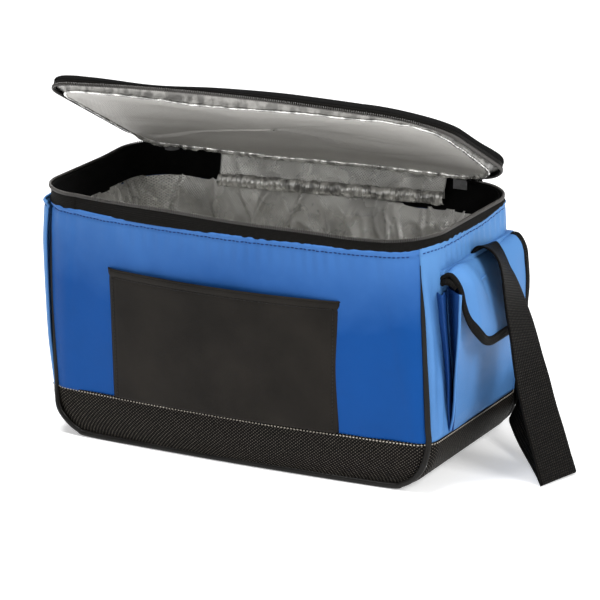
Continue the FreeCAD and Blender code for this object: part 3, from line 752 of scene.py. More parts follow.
# ---------------------------------------------------------------- rim: outer band, coil, facing
def loop(d, counts, inset=0.0):
    """Closed plan outline, anticlockwise from the left end of the front edge.

    counts: how many points the front, each corner, each side and the back get."""
    nf, nc, ns, nb = counts
    l, r, f, b = d["l"] + inset, d["r"] - inset, d["f"] + inset, d["b"] - inset
    fl, fr, br, bl = (max(c - inset, 0.5) for c in d["corners"])
    x = LIN(l + fl, r - fr, nf, endpoint=False)
    mid, half = (l + fl + r - fr) / 2, (r - fr - l - fl) / 2
    out = [np.stack([x, f - d["bow"] * (1 - ((x - mid) / half) ** 2)], 1)]
    quarter = LIN(0, math.pi / 2, nc, endpoint=False)
    for cx, cy, rad, start, after in (
            (r - fr, f + fr, fr, -math.pi / 2, ((r, f + fr), (r, b - br), ns)),
            (r - br, b - br, br, 0.0, ((r - br, b), (l + bl, b), nb)),
            (l + bl, b - bl, bl, math.pi / 2, ((l, b - bl), (l, f + fl), ns)),
            (l + fl, f + fl, fl, math.pi, None)):
        a = start + quarter
        out.append(np.stack([cx + rad * np.cos(a), cy + rad * np.sin(a)], 1))
        if after:
            p, q, n = after
            t = LIN(0, 1, n, endpoint=False)[:, None]
            out.append(np.array(p) + (np.array(q) - np.array(p)) * t)
    return np.concatenate(out)


COUNTS = (150, 26, 44, 120)


def body_loop(z, inset=0.0, counts=COUNTS):
    return xyz(*loop(dims(z), counts, inset).T, z)


# height and inset of each row
BAND_ROWS = ((173.2, -0.8), (174.4, -0.7), (175.5, -0.2), (177.5, 0.15), (179.5, 0.3),
             (181.2, 0.4), (182.6, 0.7))
FACING_ROWS = ((182.2, 2.1), (180, 2.5), (176, 4.2), (172, 5.6), (168, 6.4), (164, 6.8),
               (161.2, 6.9), (160.4, 6.3))
P = np.array([body_loop(z, inset) for z, inset in BAND_ROWS])
P = P + 0.3 * value_noise(P, (26, 26, 12), 61)[..., None] * np.array([1, 1, 0.0])
finish_piece(cloth("rim_band_tape", rim_wave(P), "tape", 1.1, closed=True, inward=CENTRE), "bag",
             ["rim_band", "body_zip_tape"])

P = np.array([body_loop(z, inset) for z, inset in FACING_ROWS])
P = P + 0.5 * value_noise(P, (30, 30, 14), 62)[..., None] * np.array([1, 1, 0.2])
inner = cloth("rim_facing_tape", rim_wave(P), "facing", 0.8, closed=True, inward=CENTRE)
finish_piece(inner, "bag", ["rim_facing"])


def zip_gap(p):
    """Which points of the zip's path are behind the opening, where there is no zip."""
    return (p[:, 0] > -142) & (p[:, 0] < 111) & (p[:, 1] > 55)


def coil_teeth(name, path, gap, upward, body, replaced):
    """Nylon coil: one small rod per turn, standing across the zip line."""
    tan = np.roll(path, -1, 0) - np.roll(path, 1, 0)
    out = np.cross(tan, upward)
    out /= np.linalg.norm(out, axis=1, keepdims=True)
    centres = path + out * 0.25
    rods = instances(name, centres[~gap], [(upward, o) for o in out[~gap]], "coil", 2.7, 0.95, 0.47)
    finish_piece(rods, body, [replaced])


COIL_PITCH = 1.55
path = resample(body_loop(182.9, 0.4), COIL_PITCH, closed=True)
coil_teeth("body_coil", rim_wave(path), zip_gap(path), np.array([0, 0, 1.0]), "bag", "body_zip_coil")
finish_piece(tube("body_coil_cord", rim_wave(body_loop(182.6, 1.1)), 0.75, "tape", 8, closed=True), "bag")


# ---------------------------------------------------------------- foil lining
def pleats(P, turn_deg, width, length, seed):
    """Sharp slanting creases, 0..1: long along a direction turned from the upright, and narrow across it."""
    s = np.where(np.abs(P[..., 1]) > 55, P[..., 0], P[..., 1])
    a = math.radians(turn_deg)
    across = s * math.cos(a) + P[..., 2] * math.sin(a)
    along = -s * math.sin(a) + P[..., 2] * math.cos(a)
    return ridges(np.stack([across, along, 0 * s], -1), (width, length, 50.0), seed) ** 2


def crinkle(P, seed):
    """How far the loose foil stands in from the wall, in mm."""
    a = pleats(P, 34, 17, 70, seed)
    b = pleats(P, -28, 21, 60, seed + 3)
    c = pleats(P, 8, 9, 34, seed + 7)
    return 4.6 * np.maximum(a, b) ** 1.5 + 1.8 * c + 0.35 * value_noise(P, 5.0, seed + 9)


DENSE = (230, 36, 100, 260)
LINING_Z = 6.4        # height of the lining's foot
LINING_INSET = 6.5
CRINKLE_MAX = 6.5
foot = END_R - (END_R - LINING_Z) * np.sin(np.radians(LIN(6, 88, 14)))
rows = []
for z in np.concatenate([LIN(162.5, 34, 110), foot]):
    p = body_loop(z, LINING_INSET, DENSE)
    inset = LINING_INSET + (0.78 * float(u_limit(z)) if z < END_R else 0.0)
    p[:, 0] = np.clip(p[:, 0], dims(z)["l"] + inset, dims(z)["r"] - inset)
    rows.append(p)
P = np.array(rows)
d = crinkle(P, 71) * (1 - 0.8 * ramp(P[..., 2], 150, 162))
P = P - outward(P, True) * np.clip(d, 0.1, CRINKLE_MAX)[..., None]
lining = cloth("lining_walls", P, "foil_lining", 0.5, closed=True, inward=CENTRE)
finish_piece(lining, "bag", ["lining_front", "lining_back", "lining_left", "lining_right"])
gx, gy = np.meshgrid(LIN(-124, 124, 110), LIN(-67, 67, 60))
P = xyz(gx, gy, 7.2)
P[..., 2] += 0.9 * ridges(P, (30, 30, 30), 75) + 0.4 * ridges(P, (12, 12, 12), 76)
finish_piece(cloth("lining_floor_foil", P, "foil_lining", 0.5), "bag", ["lining_floor"])

# thin blue edge that peeks out between the facing and the lining, in the darker copy of the nylon: painted
# shade
edge = rim_wave(body_loop(160.9, 7.2)[None])[0]
edge = edge + xyz(0, 0, 0.5 * value_noise(edge, 12.0, 4))
finish_piece(tube("lining_edge_cord", edge, 0.45, "blue_painted_shade", 6, closed=True), "bag")

# vertical seams of the lining, in its four corners
for k, (side, back) in enumerate(((-1, True), (1, True), (-1, False), (1, False))):
    pts = []
    for z in LIN(159, 12, 24):
        d = dims(z)
        x = d["l"] if side < 0 else d["r"]
        y = (d["b"] - d["cb"] * 0.75) if back else (d["f"] + d["cf"] * 0.75)
        pts.append((x - side * 9.0 - side * 0.8 * float(u_limit(z)), y, z))
    path = spline(pts, 3)
    rad = 0.8 + 0.15 * value_noise(path, 7.0, k)
    finish_piece(tube(f"lining_seam_{k}", path, rad, "foil_edge", 8), "bag")


# ---------------------------------------------------------------- lid
def lid_loop(inset, z, counts=COUNTS):
    return xyz(*loop(LID, counts, inset).T, z)


def open_lid(P):
    """From the closed place to the stored opening, with the slight twist of the soft lid."""
    P = np.array(P, float)
    y, z = P[..., 1] - HINGE_Y, P[..., 2] - HINGE_Z
    c, s = math.cos(LID_OPEN), math.sin(LID_OPEN)
    out = P.copy()
    out[..., 1] = HINGE_Y + y * c + z * s
    out[..., 2] = HINGE_Z - y * s + z * c
    out[..., 2] += LID_TWIST * P[..., 0] * ramp(-y, 0, 25)
    return out


def lid_disk(insets, zs, rings, crown, seed, lump, counts=COUNTS):
    """Rows of loops that start at the outline, and close in on the middle of the lid."""
    rows = [lid_loop(i, z, counts) for i, z in zip(insets, zs)]
    last = rows[-1]
    mid = np.array([(LID["l"] + LID["r"]) / 2, (LID["f"] + LID["b"]) / 2 - 6, zs[-1]])
    for k in LIN(0, 1, rings)[1:]:
        t = 1 - k * 0.999
        p = mid + (last - mid) * t
        p[:, 2] = zs[-1] + crown * (1 - t ** 2.2)
        rows.append(p)
    P = np.array(rows)
    P[..., 2] += lump * value_noise(P, (45, 38, 60), seed)
    return P


LID_SEAM_Z = 184.7


def thinned(P):
    """The lid is pinched thin along part of its front edge, left of the middle."""
    forward = np.clip((25 - P[..., 1]) / 110, 0, 1)
    near = np.exp(-((P[..., 0] + 62) / 46) ** 2) * forward
    keep = 1 - 0.42 * near - 0.20 * forward
    out = P.copy()
    out[..., 2] = LID_SEAM_Z + (P[..., 2] - LID_SEAM_Z) * np.where(P[..., 2] > LID_SEAM_Z, keep, 1.0)
    return out


# points over, in and under the middle of the opened lid
ABOVE, WITHIN, BELOW = (open_lid(np.array([-9.0, -6.0, z])) for z in (230.0, 188.0, 150.0))

# padded black top with its rolled edge
P = lid_disk([0.2, -0.2, -0.3, 0.2, 1.4, 4.0, 9.0, 16.0, 26.0],
             [188.6, 189.6, 190.9, 192.2, 193.2, 194.0, 194.7, 195.4, 196.0], 26, 1.8, 81, 0.5)
top_piece = cloth("lid_top_cloth", open_lid(thinned(P)), "lid_fabric", 1.0, closed=True, inward=BELOW)
finish_piece(top_piece, "lid", ["lid_top", "lid_piping"])
foam_face = thinned(P[6:])
foam_face[..., 2] -= 1.3
finish_piece(cloth("lid_foam_sheet", open_lid(foam_face), "foam", 1.2, closed=True, inward=BELOW), "lid",
             ["lid_foam"])

LID_BAND_ROWS = ((185.2, 0.9), (186.4, 0.5), (187.6, 0.1), (188.8, 0.0), (189.6, 0.7))
P = np.array([lid_loop(inset, z) for z, inset in LID_BAND_ROWS])
P = P + 0.25 * value_noise(P, (26, 26, 12), 63)[..., None] * np.array([1, 1, 0.0])
finish_piece(cloth("lid_band_tape", open_lid(thinned(P)), "tape", 1.0, closed=True, inward=WITHIN), "lid",
             ["lid_side_band", "lid_zip_tape"])
closed_path = resample(lid_loop(0.3, LID_SEAM_Z), COIL_PITCH, closed=True)
lid_up = open_lid(np.array([-9.0, -6.0, 189.0])) - WITHIN
coil_teeth("lid_coil", open_lid(closed_path), zip_gap(closed_path), lid_up, "lid", "lid_zip_coil")
finish_piece(tube("lid_coil_cord", open_lid(lid_loop(1.2, 185.0)), 0.75, "tape", 8, closed=True), "lid")


def pad_drop(P):
    """How far the foil pad under the lid hangs below the zip: most at the front, left of the middle."""
    x, y = P[..., 0], P[..., 1]
    front = 3.6 * np.exp(-((x + 22) / 60) ** 2) * ramp(y, -50, -80)
    right = 2.2 * ramp(x, 70, 125) * ramp(y, 60, -20)
    rear_left = 2.2 * ramp(y, 55, 74) * ramp(x, 40, -60)
    return 3.0 + front - right + rear_left


# sewn border of the pad, from the zip down and in to its ridge: (inset, share of the drop)
FINE = (240, 44, 90, 220)
BORDER = ((1.8, 0.0), (3.6, 0.02), (5.6, 0.06), (7.2, 0.18), (8.2, 0.45), (8.8, 0.75),
          (9.2, 0.95), (9.7, 0.97))
BORDER_RISE = 1.8     # the border starts this far above the zip, inside the lid
P = np.array([lid_loop(inset, LID_SEAM_Z, FINE) for inset, _ in BORDER])
share = np.array([k for _, k in BORDER])[:, None]
P[..., 2] += BORDER_RISE * (1 - share) - pad_drop(P) * share
s = lengths(P[3])[None, :]
ruche = 0.30 * np.sin(s / 1.7 + 3 * value_noise(P, 14.0, 85)) + 0.55 * value_noise(P, (4, 4, 9), 86)
across = np.sin(LIN(0, math.pi, len(BORDER)))[:, None]
P[..., 2] += ruche * across * 0.9
P[..., 1] += 0.4 * ruche * across
# the border takes the darker copy of the foil: painted shade
finish_piece(cloth("lid_binding_foil", open_lid(P), "foil_border_painted_shade", 0.4, closed=True, inward=ABOVE), "lid",
             ["lid_lining_binding"])

# quilted foil on the underside, inside that border
PAD_INSET, WELT_INSET = 9.3, 9.6
P = lid_disk([PAD_INSET, 10.2, 11.2, 12.5, 16.0, 20.0, 26.0], [LID_SEAM_Z] * 7, 60, 0.0, 82, 0.0, FINE)
rim = lid_loop(PAD_INSET, LID_SEAM_Z, FINE)
depth_in = np.linalg.norm(P[..., :2] - rim[None, :, :2], axis=-1)
P[..., 2] -= pad_drop(rim)[None, :] * (1 - 0.45 * ramp(depth_in, 0, 60)) * 0.94
inside = ramp(depth_in, 0.5, 9)
waves = 1.0 * value_noise(P, (80, 30, 60), 83) + 1.1 * (ridges(P, (75, 24, 60), 84) ** 2 - 0.4)
P[..., 2] += inside * (1.1 * ramp(depth_in, 0, 5) + waves)
under = cloth("lid_lining_foil", open_lid(P), "foil_lid", 0.5, closed=True, inward=ABOVE)
finish_piece(under, "lid", ["lid_lining"])
# crinkled welt along the ridge between the two
ridge = resample(lid_loop(WELT_INSET, LID_SEAM_Z, FINE), 1.6, closed=True)
ridge[:, 2] -= pad_drop(ridge) - 0.25
ridge[:, 2] += 0.45 * value_noise(ridge, 6.0, 87)
rear = ramp(ridge[:, 1], 40, 70)
bead = 1.1 + (0.4 + 0.5 * rear) * value_noise(ridge, 3.2, 88) + 1.5 * rear
finish_piece(tube("lid_pad_welt", open_lid(ridge), bead, "foil_edge", 10, closed=True), "lid")

# ---------------------------------------------------------------- fabric hinge
FLAP_X = (-93.0, 91.0)


def seam_z(x):
    """The foot of the hinge climbs a little from left to right."""
    return 162.0 + 8.0 * (x - FLAP_X[0]) / (FLAP_X[1] - FLAP_X[0])


xs = LIN(*FLAP_X, 150)
top_line = open_lid(xyz(xs, 74.5, 182.4))
low = xyz(xs, 70.4, seam_z(xs))
mid = xyz(xs, 70.8, seam_z(xs) * 0.45 + 178.5 * 0.55)
t = LIN(0, 1, 26)[:, None, None]
P = (1 - t) ** 2 * low + 2 * t * (1 - t) * mid + t ** 2 * top_line
wrinkle = 0.9 * value_noise(P, (13, 40, 16), 91) + 1.3 * (ridges(P, (22, 30, 9), 92) ** 2 - 0.3)
P[..., 1] -= np.clip(wrinkle + 0.5, -0.2, 2.4) * np.sin(t[..., 0] * math.pi)
flap = cloth("hinge_flap_foil", P, "foil_lining", 0.5)
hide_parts("hinge_flap")
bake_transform(flap)

# ruched seam along the foot of the hinge
xs = LIN(*FLAP_X, 420)
section = ((0.6, 5.0), (-0.6, 4.4), (-1.6, 2.4), (-1.8, 0.0), (-1.5, -2.4), (-0.4, -4.0), (0.9, -4.6))
P = np.array([xyz(xs, 69.6 + dy, seam_z(xs) + dz) for dy, dz in section])
pucker = 0.5 * np.sin(P[..., 0] * 2 * math.pi / 4.1 + 2.5 * value_noise(P, 17.0, 93))
pucker += 0.9 * value_noise(P, 2.6, 94)
P[..., 1] -= (0.8 + pucker) * np.sin(LIN(0, math.pi, len(section)))[:, None] + 0.2
P[..., 2] += 0.9 * value_noise(P, (5, 9, 5), 95)
finish_piece(cloth("hinge_seam_foil", P, "foil_edge", 0.5), "bag")

# outer tape that closes the gap between the zip ends
xs = LIN(-146, 115, 90)
low, high = np.array([0, 80.4, 178.5]), open_lid(np.array([0.0, 80.2, 189.0]))
rows = []
for t in LIN(0, 1, 9):
    p = low + (high - low) * t
    rows.append(xyz(xs, p[1] + 0.9 * math.sin(t * math.pi), p[2]))
P = np.array(rows)
turn = ramp(P[..., 0], -120, -146)
P[..., 1] -= 0.5 * turn * (np.clip(-120 - P[..., 0], 0, 40) ** 2) / 42.0
hinge = cloth("hinge_tape", P, "tape", 0.7)
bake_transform(hinge)


# ---------------------------------------------------------------- front pocket
def front_y(x, z):
    """Outer face of the front wall."""
    d = dims(z)
    l, r, c = d["l"], d["r"], d["cf"]
    mid, half = (l + r) / 2, (r - l) / 2 - c
    return d["f"] - d["bow"] * (1 - ((x - mid) / half) ** 2)


PX, PZ = (-99.5, 89.0), (36.2, 134.0)
HEM = 6.0             # the hem's stitching is this far below the mouth
gx, gz = np.meshgrid(LIN(*PX, 130), LIN(*PZ, 70))
fx = (gx - PX[0]) / (PX[1] - PX[0])
fz = (gz - PZ[0]) / (PZ[1] - PZ[0])
stand = 2.2 + 2.6 * np.sin(fx * math.pi) ** 0.7 * (0.35 + 0.65 * fz) + 0.5 * fz
P = xyz(gx, front_y(gx, gz) - stand, gz)
P[..., 1] += 0.5 * value_noise(P, (45, 60, 40), 101)
P[..., 1] += 0.35 * np.exp(-((gz - (PZ[1] - HEM)) / 0.8) ** 2)
P[..., 1] -= 0.6 * ramp(gz, PZ[1] - 5.0, PZ[1] - 3.0)
edge = np.minimum(gx - PX[0], PX[1] - gx)
P[..., 1] += 1.6 * ramp(edge, 3.0, 0.0)
P[..., 1] += 0.3 * np.exp(-((edge - 4.2) / 0.7) ** 2)
lean = (1 - fx) * (1.2 + 1.8 * fz) - fx * (7.0 - 5.0 * fz)
P[..., 0] += 0.4 * value_noise(P, (200, 200, 22), 102) + lean
pocket = cloth("front_pocket_vinyl", P, "pocket_vinyl", 1.2, inward=CENTRE)
finish_piece(pocket, "bag", ["front_pocket", "front_pocket_hem"])
i = int(np.argmin(np.abs(gz[:, 0] - (PZ[1] - HEM))))
for end, path in (("", P[i, 3:-3]), ("_left", P[:-4, 3]), ("_right", P[:-4, -4])):
    out = np.tile([0.0, -1.0, 0.0], (len(path), 1))
    finish_piece(stitches("front_pocket_stitch" + end, path, out, **POCKET_STITCH), "bag")
hemline = P[-1] + np.array([0, 0.55, 0.1])
finish_piece(tube("front_pocket_edge", hemline, 0.75, "pocket_vinyl", 8), "bag")


# ---------------------------------------------------------------- side pocket
def right_x(y, z):
    """Outer face of the right wall."""
    d = dims(z)
    dy = np.maximum(d["f"] + d["cf"] - y, 0)
    dy2 = np.maximum(y - (d["b"] - d["cb"]), 0)
    k = d["cf"] - np.sqrt(np.maximum(d["cf"] ** 2 - dy ** 2, 0))
    k2 = d["cb"] - np.sqrt(np.maximum(d["cb"] ** 2 - dy2 ** 2, 0))
    return d["r"] - k - k2


# the panel's front edge and the crest of its front bellows, from the foot up: (z, x, y)
POCKET_Z = (38, 142)
PANEL_EDGE = ((38, 151.0, -45), (48, 154.5, -48), (60, 156.6, -50.5), (75, 158.4, -53),
              (100, 161.0, -56), (120, 162.8, -58), (142, 164.0, -60))
CREST = ((38, 150.6, -46), (60, 153.4, -54), (80, 155.3, -58), (100, 156.0, -62),
         (120, 155.2, -65), (142, 154.0, -66.5))
PANEL_REAR_X, PANEL_REAR_Y = 153.5, 60.0


def at_height(z, points):
    """x and y at height z on a line given as (z, x, y) points."""
    zs, xs, ys = np.array(points).T
    return np.interp(z, zs, xs), np.interp(z, zs, ys)


def pocket_panel_x(y, z):
    """Outer face of the pocket's panel: it stands off most at the front and near the mouth."""
    x0, y0 = at_height(z, PANEL_EDGE)
    t = np.clip((y - y0) / (PANEL_REAR_Y - y0), 0, 1)
    bulge = 1.4 * np.sin(t * math.pi) * np.sin((z - POCKET_Z[0]) / (POCKET_Z[1] - POCKET_Z[0]) * math.pi)
    return x0 + (PANEL_REAR_X - x0) * t + bulge - 1.5 * ramp(z, 60, POCKET_Z[0]) * t


ny, nz = 90, 70
zcol = LIN(*POCKET_Z, nz)
gz = np.repeat(zcol[:, None], ny, 1)
y0 = at_height(gz, PANEL_EDGE)[1]
gy = y0 + (PANEL_REAR_Y - y0) * LIN(0, 1, ny)[None, :]
P = xyz(pocket_panel_x(gy, gz), gy, gz)
P[..., 0] += 0.7 * value_noise(P, (60, 32, 55), 111) + 0.4 * value_noise(P, (30, 14, 30), 112)
pocket = cloth("side_pocket_cloth", P, "blue_side_painted_light", 1.2, inward=CENTRE)
finish_piece(pocket, "bag", ["side_pocket_panel"])
panel_edge, panel_rear = P[:, 0].copy(), P[:, -1].copy()

# front bellows: out from the wall to a crest, back in to a deep fold, and out to the panel
rows = []
for z, e in zip(zcol, panel_edge):
    depth = float(ramp(z, POCKET_Z[0], 64))
    cx, cy = at_height(z, CREST)
    root = np.array([float(right_x(cy + 3, z)) + 0.9, cy + 3 + 2 * depth, z])
    fold = np.array([float(right_x(cy + 16, z)) + 1.2, cy + 4 + 13 * depth, z])
    rows.append(spline([root, (cx, cy, z), fold, (fold + e) / 2 + np.array([1.2, -2.2 * depth, 0]), e], 10))
P = np.array(rows)
P[..., 1] += 0.5 * value_noise(P, (20, 20, 45), 113)
P[..., 2] += 1.3 * value_noise(P, (6, 6, 40), 114) * ramp(P[..., 2], 132, 142)
# the front bellows take the darker copy of the nylon: painted shade in their deep folds
bell = cloth("side_pocket_bellows_front", P, "blue_painted_shade", 0.8)
finish_piece(bell, "bag", ["side_pocket_gusset"])
rows = [spline([np.array([float(right_x(63.0, z)) + 0.8, 63.0, z]), np.array([e[0] - 1.5, 62.5, z]), e], 8)
        for z, e in zip(zcol, panel_rear)]
bell = cloth("side_pocket_bellows_rear", np.array(rows), "blue_side_painted_light", 0.8)
finish_piece(bell, "bag")
# folded edge down the front of the panel, and the pocket's foot
finish_piece(tube("side_pocket_edge", panel_edge, 0.9, "blue_side_painted_light", 8), "bag")
y = LIN(-45, PANEL_REAR_Y, 60)
wall = right_x(y, POCKET_Z[0]) + 0.6
reach = pocket_panel_x(y, POCKET_Z[0]) - 0.6 - wall
foot = [xyz(wall + reach * k, y, 37.6 + 0.8 * k) for k in LIN(0, 1, 6)]
finish_piece(cloth("side_pocket_foot", np.array(foot), "blue_side_painted_light", 0.8), "bag")

# ---------------------------------------------------------------- pocket flap
# profiles (x, z) down the flap: at its free front edge, just behind that, in the valley under
# the strap, and behind the strap
PROFILES = (
    [(147.5, 150), (150.5, 153.5), (155.5, 154.8), (160, 151.5), (163.5, 146), (165.5, 138),
     (167, 130), (169, 122), (170.5, 114), (171.5, 106), (172, 98), (172, 90)],
    [(148.5, 153.5), (152, 157), (156.5, 157.9), (162, 155), (166.5, 150.3), (169.7, 144),
     (171.4, 136), (173, 128), (174.3, 120), (174.8, 112), (174.8, 104), (174.5, 94)],
    [(148.5, 153), (151.5, 153.8), (154.5, 150.5), (157, 146), (159.8, 139), (163.6, 131),
     (167.6, 122), (171.3, 113), (174, 104), (175.5, 98), (176, 92)],
    [(148.5, 154), (151.5, 155.8), (155.5, 155.2), (159, 151), (161.5, 145), (162.5, 138),
     (163.5, 130), (164.8, 121), (166, 113), (167, 106), (167.5, 99), (168, 92)])
FLAP_HALF, FLAP_CORNER, FLAP_FOOT = 58.0, 32.0, 100.0


def flap_points(ys, count):
    """The flap's columns, one per y, each blended from the profiles near it."""
    e, f, m, r = (resample(spline([(a, 0, b) for a, b in p], 8), count=count)[:, [0, 2]] for p in PROFILES)
    cols = []
    for y in ys:
        edge = float(ramp(y, -45, -58))
        front = float(ramp(y, -10, -42)) * (1 - edge)
        rear = float(ramp(y, 26, 52))
        p = edge * e + front * f + (1 - edge - front - rear) * m + rear * r
        cols.append(xyz(p[:, 0], y, p[:, 1]))
    return cols


def corner_rise(y):
    """How much shorter the flap is at y: its lower corners are rounded."""
    e = np.maximum(np.abs(y) - (FLAP_HALF - FLAP_CORNER), 0)
    return FLAP_CORNER - np.sqrt(np.maximum(FLAP_CORNER ** 2 - e ** 2, 0))


ys = FLAP_HALF * np.sin(LIN(-math.pi / 2, math.pi / 2, 92))
NF = 64
cols = []
for y, col in zip(ys, flap_points(ys, 160)):
    s = lengths(col)
    top = int(np.argmax(col[:, 2]))
    t = LIN(0, np.interp(-FLAP_FOOT - float(corner_rise(y)), -col[top:, 2], s[top:]), NF)
    cols.append(np.stack([np.interp(t, s, col[:, k]) for k in range(3)], 1))
P = np.array(cols).transpose(1, 0, 2)
P[..., 0] += 0.6 * value_noise(P, (40, 22, 30), 121) * LIN(0, 1, NF)[:, None]
flap_grid = P
INSIDE = np.array([120.0, 0, 110])
piece = cloth("pocket_flap_cloth", P, "blue_side_painted_light", 1.1, inward=INSIDE)
finish_piece(piece, "pocket_flap", ["pocket_flap"])


def outward_from(grid, point):
    n = normals(grid)
    return n if np.sum((grid - point) * n) > 0 else -n


def flat_binding(name, path, grid, width, thick, mat):
    """Folded tape over the edge of the flap: an oblong section that lies in the flap's surface."""
    tan = np.gradient(path, axis=0)
    tan /= np.linalg.norm(tan, axis=1, keepdims=True)
    flat = grid.reshape(-1, 3)
    nrm = outward_from(grid, INSIDE).reshape(-1, 3)
    n = nrm[[int(np.argmin(np.sum((flat - p) ** 2, 1))) for p in path]]
    for _ in range(6):
        n[1:-1] = (n[:-2] + n[1:-1] + n[2:]) / 3
    n -= tan * np.sum(n * tan, 1, keepdims=True)
    n /= np.linalg.norm(n, axis=1, keepdims=True)
    b = np.cross(tan, n)
    b *= np.sign(np.sum((path - flat.mean(0)) * b, 1, keepdims=True) + 1e-9)
    sides = 16
    th = LIN(0, 2 * math.pi, sides, endpoint=False)
    cx = np.sign(np.cos(th)) * np.abs(np.cos(th)) ** 0.6 * width / 2
    cy = np.sign(np.sin(th)) * np.abs(np.sin(th)) ** 0.6 * thick / 2
    centre = path - b * (width / 2 - 0.8) - n * 0.55
    Q = centre[:, None] + cx[None, :, None] * b[:, None] + cy[None, :, None] * n[:, None]
    faces = grid_faces(len(path), sides, True).tolist()
    faces += [list(range(sides))[::-1], [(len(path) - 1) * sides + i for i in range(sides)]]
    girth = np.cumsum(np.hypot(np.diff(cx, append=cx[0]), np.diff(cy, append=cy[0])))
    uv = np.stack([np.tile(girth, len(path)), np.repeat(lengths(path), sides)], -1) * MM
    return make(name, Q.reshape(-1, 3), faces, mat, uv)


rim = resample(np.concatenate([P[2:, 0], P[-1, 1:-1], P[4:, -1][::-1]]), 1.5)
piece = flat_binding("flap_binding_tape", rim, flap_grid, 6.8, 3.0, "binding")
finish_piece(piece, "pocket_flap", ["flap_binding"])
# the binding's tail, folded under the front end of the flap and sewn down
tail = spline([(148.6, -56.5, 147.6), (151.5, -56.8, 149.2), (156, -56.8, 149.2), (160.5, -56.5, 145.8)], 8)
tail = tube("flap_binding_tail", tail, 2.9 + 0.5 * value_noise(tail, 3.0, 122), "binding")
finish_piece(tail, "pocket_flap")

# ---------------------------------------------------------------- hook and loop closure, behind the flap
PATCH_Y = 14.0
patch_z = LIN(108.0, 127.0, 16)
gy, gz = np.meshgrid(LIN(-PATCH_Y, PATCH_Y, 22), patch_z)
P = xyz(pocket_panel_x(gy, gz) + 1.5, gy, gz)
piece = cloth("loop_patch_pile", P, "hook_loop", 0.8, inward=CENTRE)
finish_piece(piece, "bag", ["pocket_loop_patch"])
behind = flap_grid - outward_from(flap_grid, INSIDE) * 1.2
cols = [j for j in range(len(ys)) if abs(ys[j]) < PATCH_Y]
P = np.array([[xyz(np.interp(z, behind[::-1, j, 2], behind[::-1, j, 0]), ys[j], z) for j in cols]
              for z in patch_z])
piece = cloth("hook_patch_pile", P, "hook_loop", 0.7, inward=INSIDE)
finish_piece(piece, "pocket_flap", ["flap_hook_patch"])


# ---------------------------------------------------------------- strap
def ribbon(name, left, right):
    """Webbing between two edge curves, with its outer face a little crowned."""
    thick, cols = 1.5, 18
    L, R = spline(left, 10), spline(right, 10)
    t = LIN(0, 1, cols)[None, :, None]
    P = L[:, None] * (1 - t) + R[:, None] * t
    crown = 0.1 * np.sin(LIN(0, math.pi, cols))[None, :, None]
    return cloth(name, P + normals(P) * (thick / 2 + crown), "webbing", thick)


# front run: its two edges, from the seam over the arc, twisting, and down beside the bag to the floor
FRONT_RUN = [((149.3, -10, 157.0), (149.3, 27, 156.0)), ((152.5, -10, 161.5), (152.2, 27, 156.0)),
             ((157, -10, 163), (155.4, 26.6, 152.6)), ((162.5, -10, 161.8), (158.2, 26, 148.8)),
             ((167, -10, 158.5), (160.6, 25.6, 144.6)), ((170.5, -10.2, 153), (163, 25.4, 140)),
             ((172.8, -10.8, 146.5), (166.4, 25.2, 135)), ((174.8, -12.2, 139), (171.2, 24, 127.6)),
             ((177.6, -15.5, 129), (177.8, 20.6, 117.3)), ((181.5, -19.5, 117), (184.2, 17.1, 107)),
             ((185.8, -23, 104), (189.2, 14.4, 97)), ((189, -24.8, 88), (194.2, 12.8, 84)),
             ((192.5, -25.2, 70), (200, 12, 68.5)), ((197.5, -25.2, 50), (206, 11.6, 49.5)),
             ((204, -25, 28), (213.3, 11.4, 29)), ((209.5, -24.6, 10), (219.6, 10.8, 10.5)),
             ((212, -24.5, 1.6), (222.6, 9.8, 1.6))]
front_run = ribbon("strap_front_webbing", *zip(*FRONT_RUN))
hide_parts("strap_front_run")
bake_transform(front_run)

# rear run: middle of the webbing, its height where it is off the floor, and the direction across it
REAR_RUN = [((217.2, -7.3), None, (0.30, 0.95, 0.02)), ((207.9, 5.7), 6.0, (0.26, 0.93, 0.25)),
            ((195.8, 18.3), 14.0, (0.20, 0.75, 0.63)), ((177.7, 37.5), 23.4, (0.30, 0.50, 0.81)),
            ((167.6, 48.7), 30.2, (0.40, 0.35, 0.85)), ((159.2, 59.7), 34.4, (0.35, 0.30, 0.88)),
            ((157.2, 72.8), 36.5, (0.30, 0.25, 0.92)), ((149.9, 86.8), 37.0, (0.15, 0.25, 0.95)),
            ((135.0, 94.9), 32.8, (0.05, 0.15, 0.99)), ((110.0, 101.0), 25.0, (0.0, 0.12, 0.99)),
            ((78.0, 105.0), None, (0.0, 0.1, 0.99)), ((20.0, 104.0), None, (0.0, 0.06, 1.0)),
            ((-50.0, 101.5), None, (0.0, 0.05, 1.0)), ((-104.0, 101.0), 24.0, (0.1, 0.06, 0.99)),
            ((-140.0, 97.0), 40.0, (0.32, 0.2, 0.92)), ((-167.0, 82.0), 63.0, (0.42, 0.48, 0.77)),
            ((-183.0, 58.0), 90.0, (0.3, 0.76, 0.58)), ((-190.0, 34.0), 118.0, (0.1, 0.92, 0.37)),
            ((-191.0, 17.0), 142.0, (0.0, 0.98, 0.16)), ((-185.5, 9.0), 157.0, (0.0, 1.0, 0.04)),
            ((-174.5, 7.0), 163.4, (0.0, 1.0, 0.0)), ((-161.2, 7.0), 159.4, (0.0, 1.0, 0.0))]
HALF_WIDTH = 19.0
lower, upper = [], []
for (x, y), z, a in REAR_RUN:
    a = np.array(a) / np.linalg.norm(a)
    c = np.array([x, y, a[2] * HALF_WIDTH + 1.2 if z is None else z])
    lower.append(c - HALF_WIDTH * a)
    upper.append(c + HALF_WIDTH * a)
finish_piece(ribbon("strap_rear_webbing", lower, upper), "bag", ["strap_rear_run"])

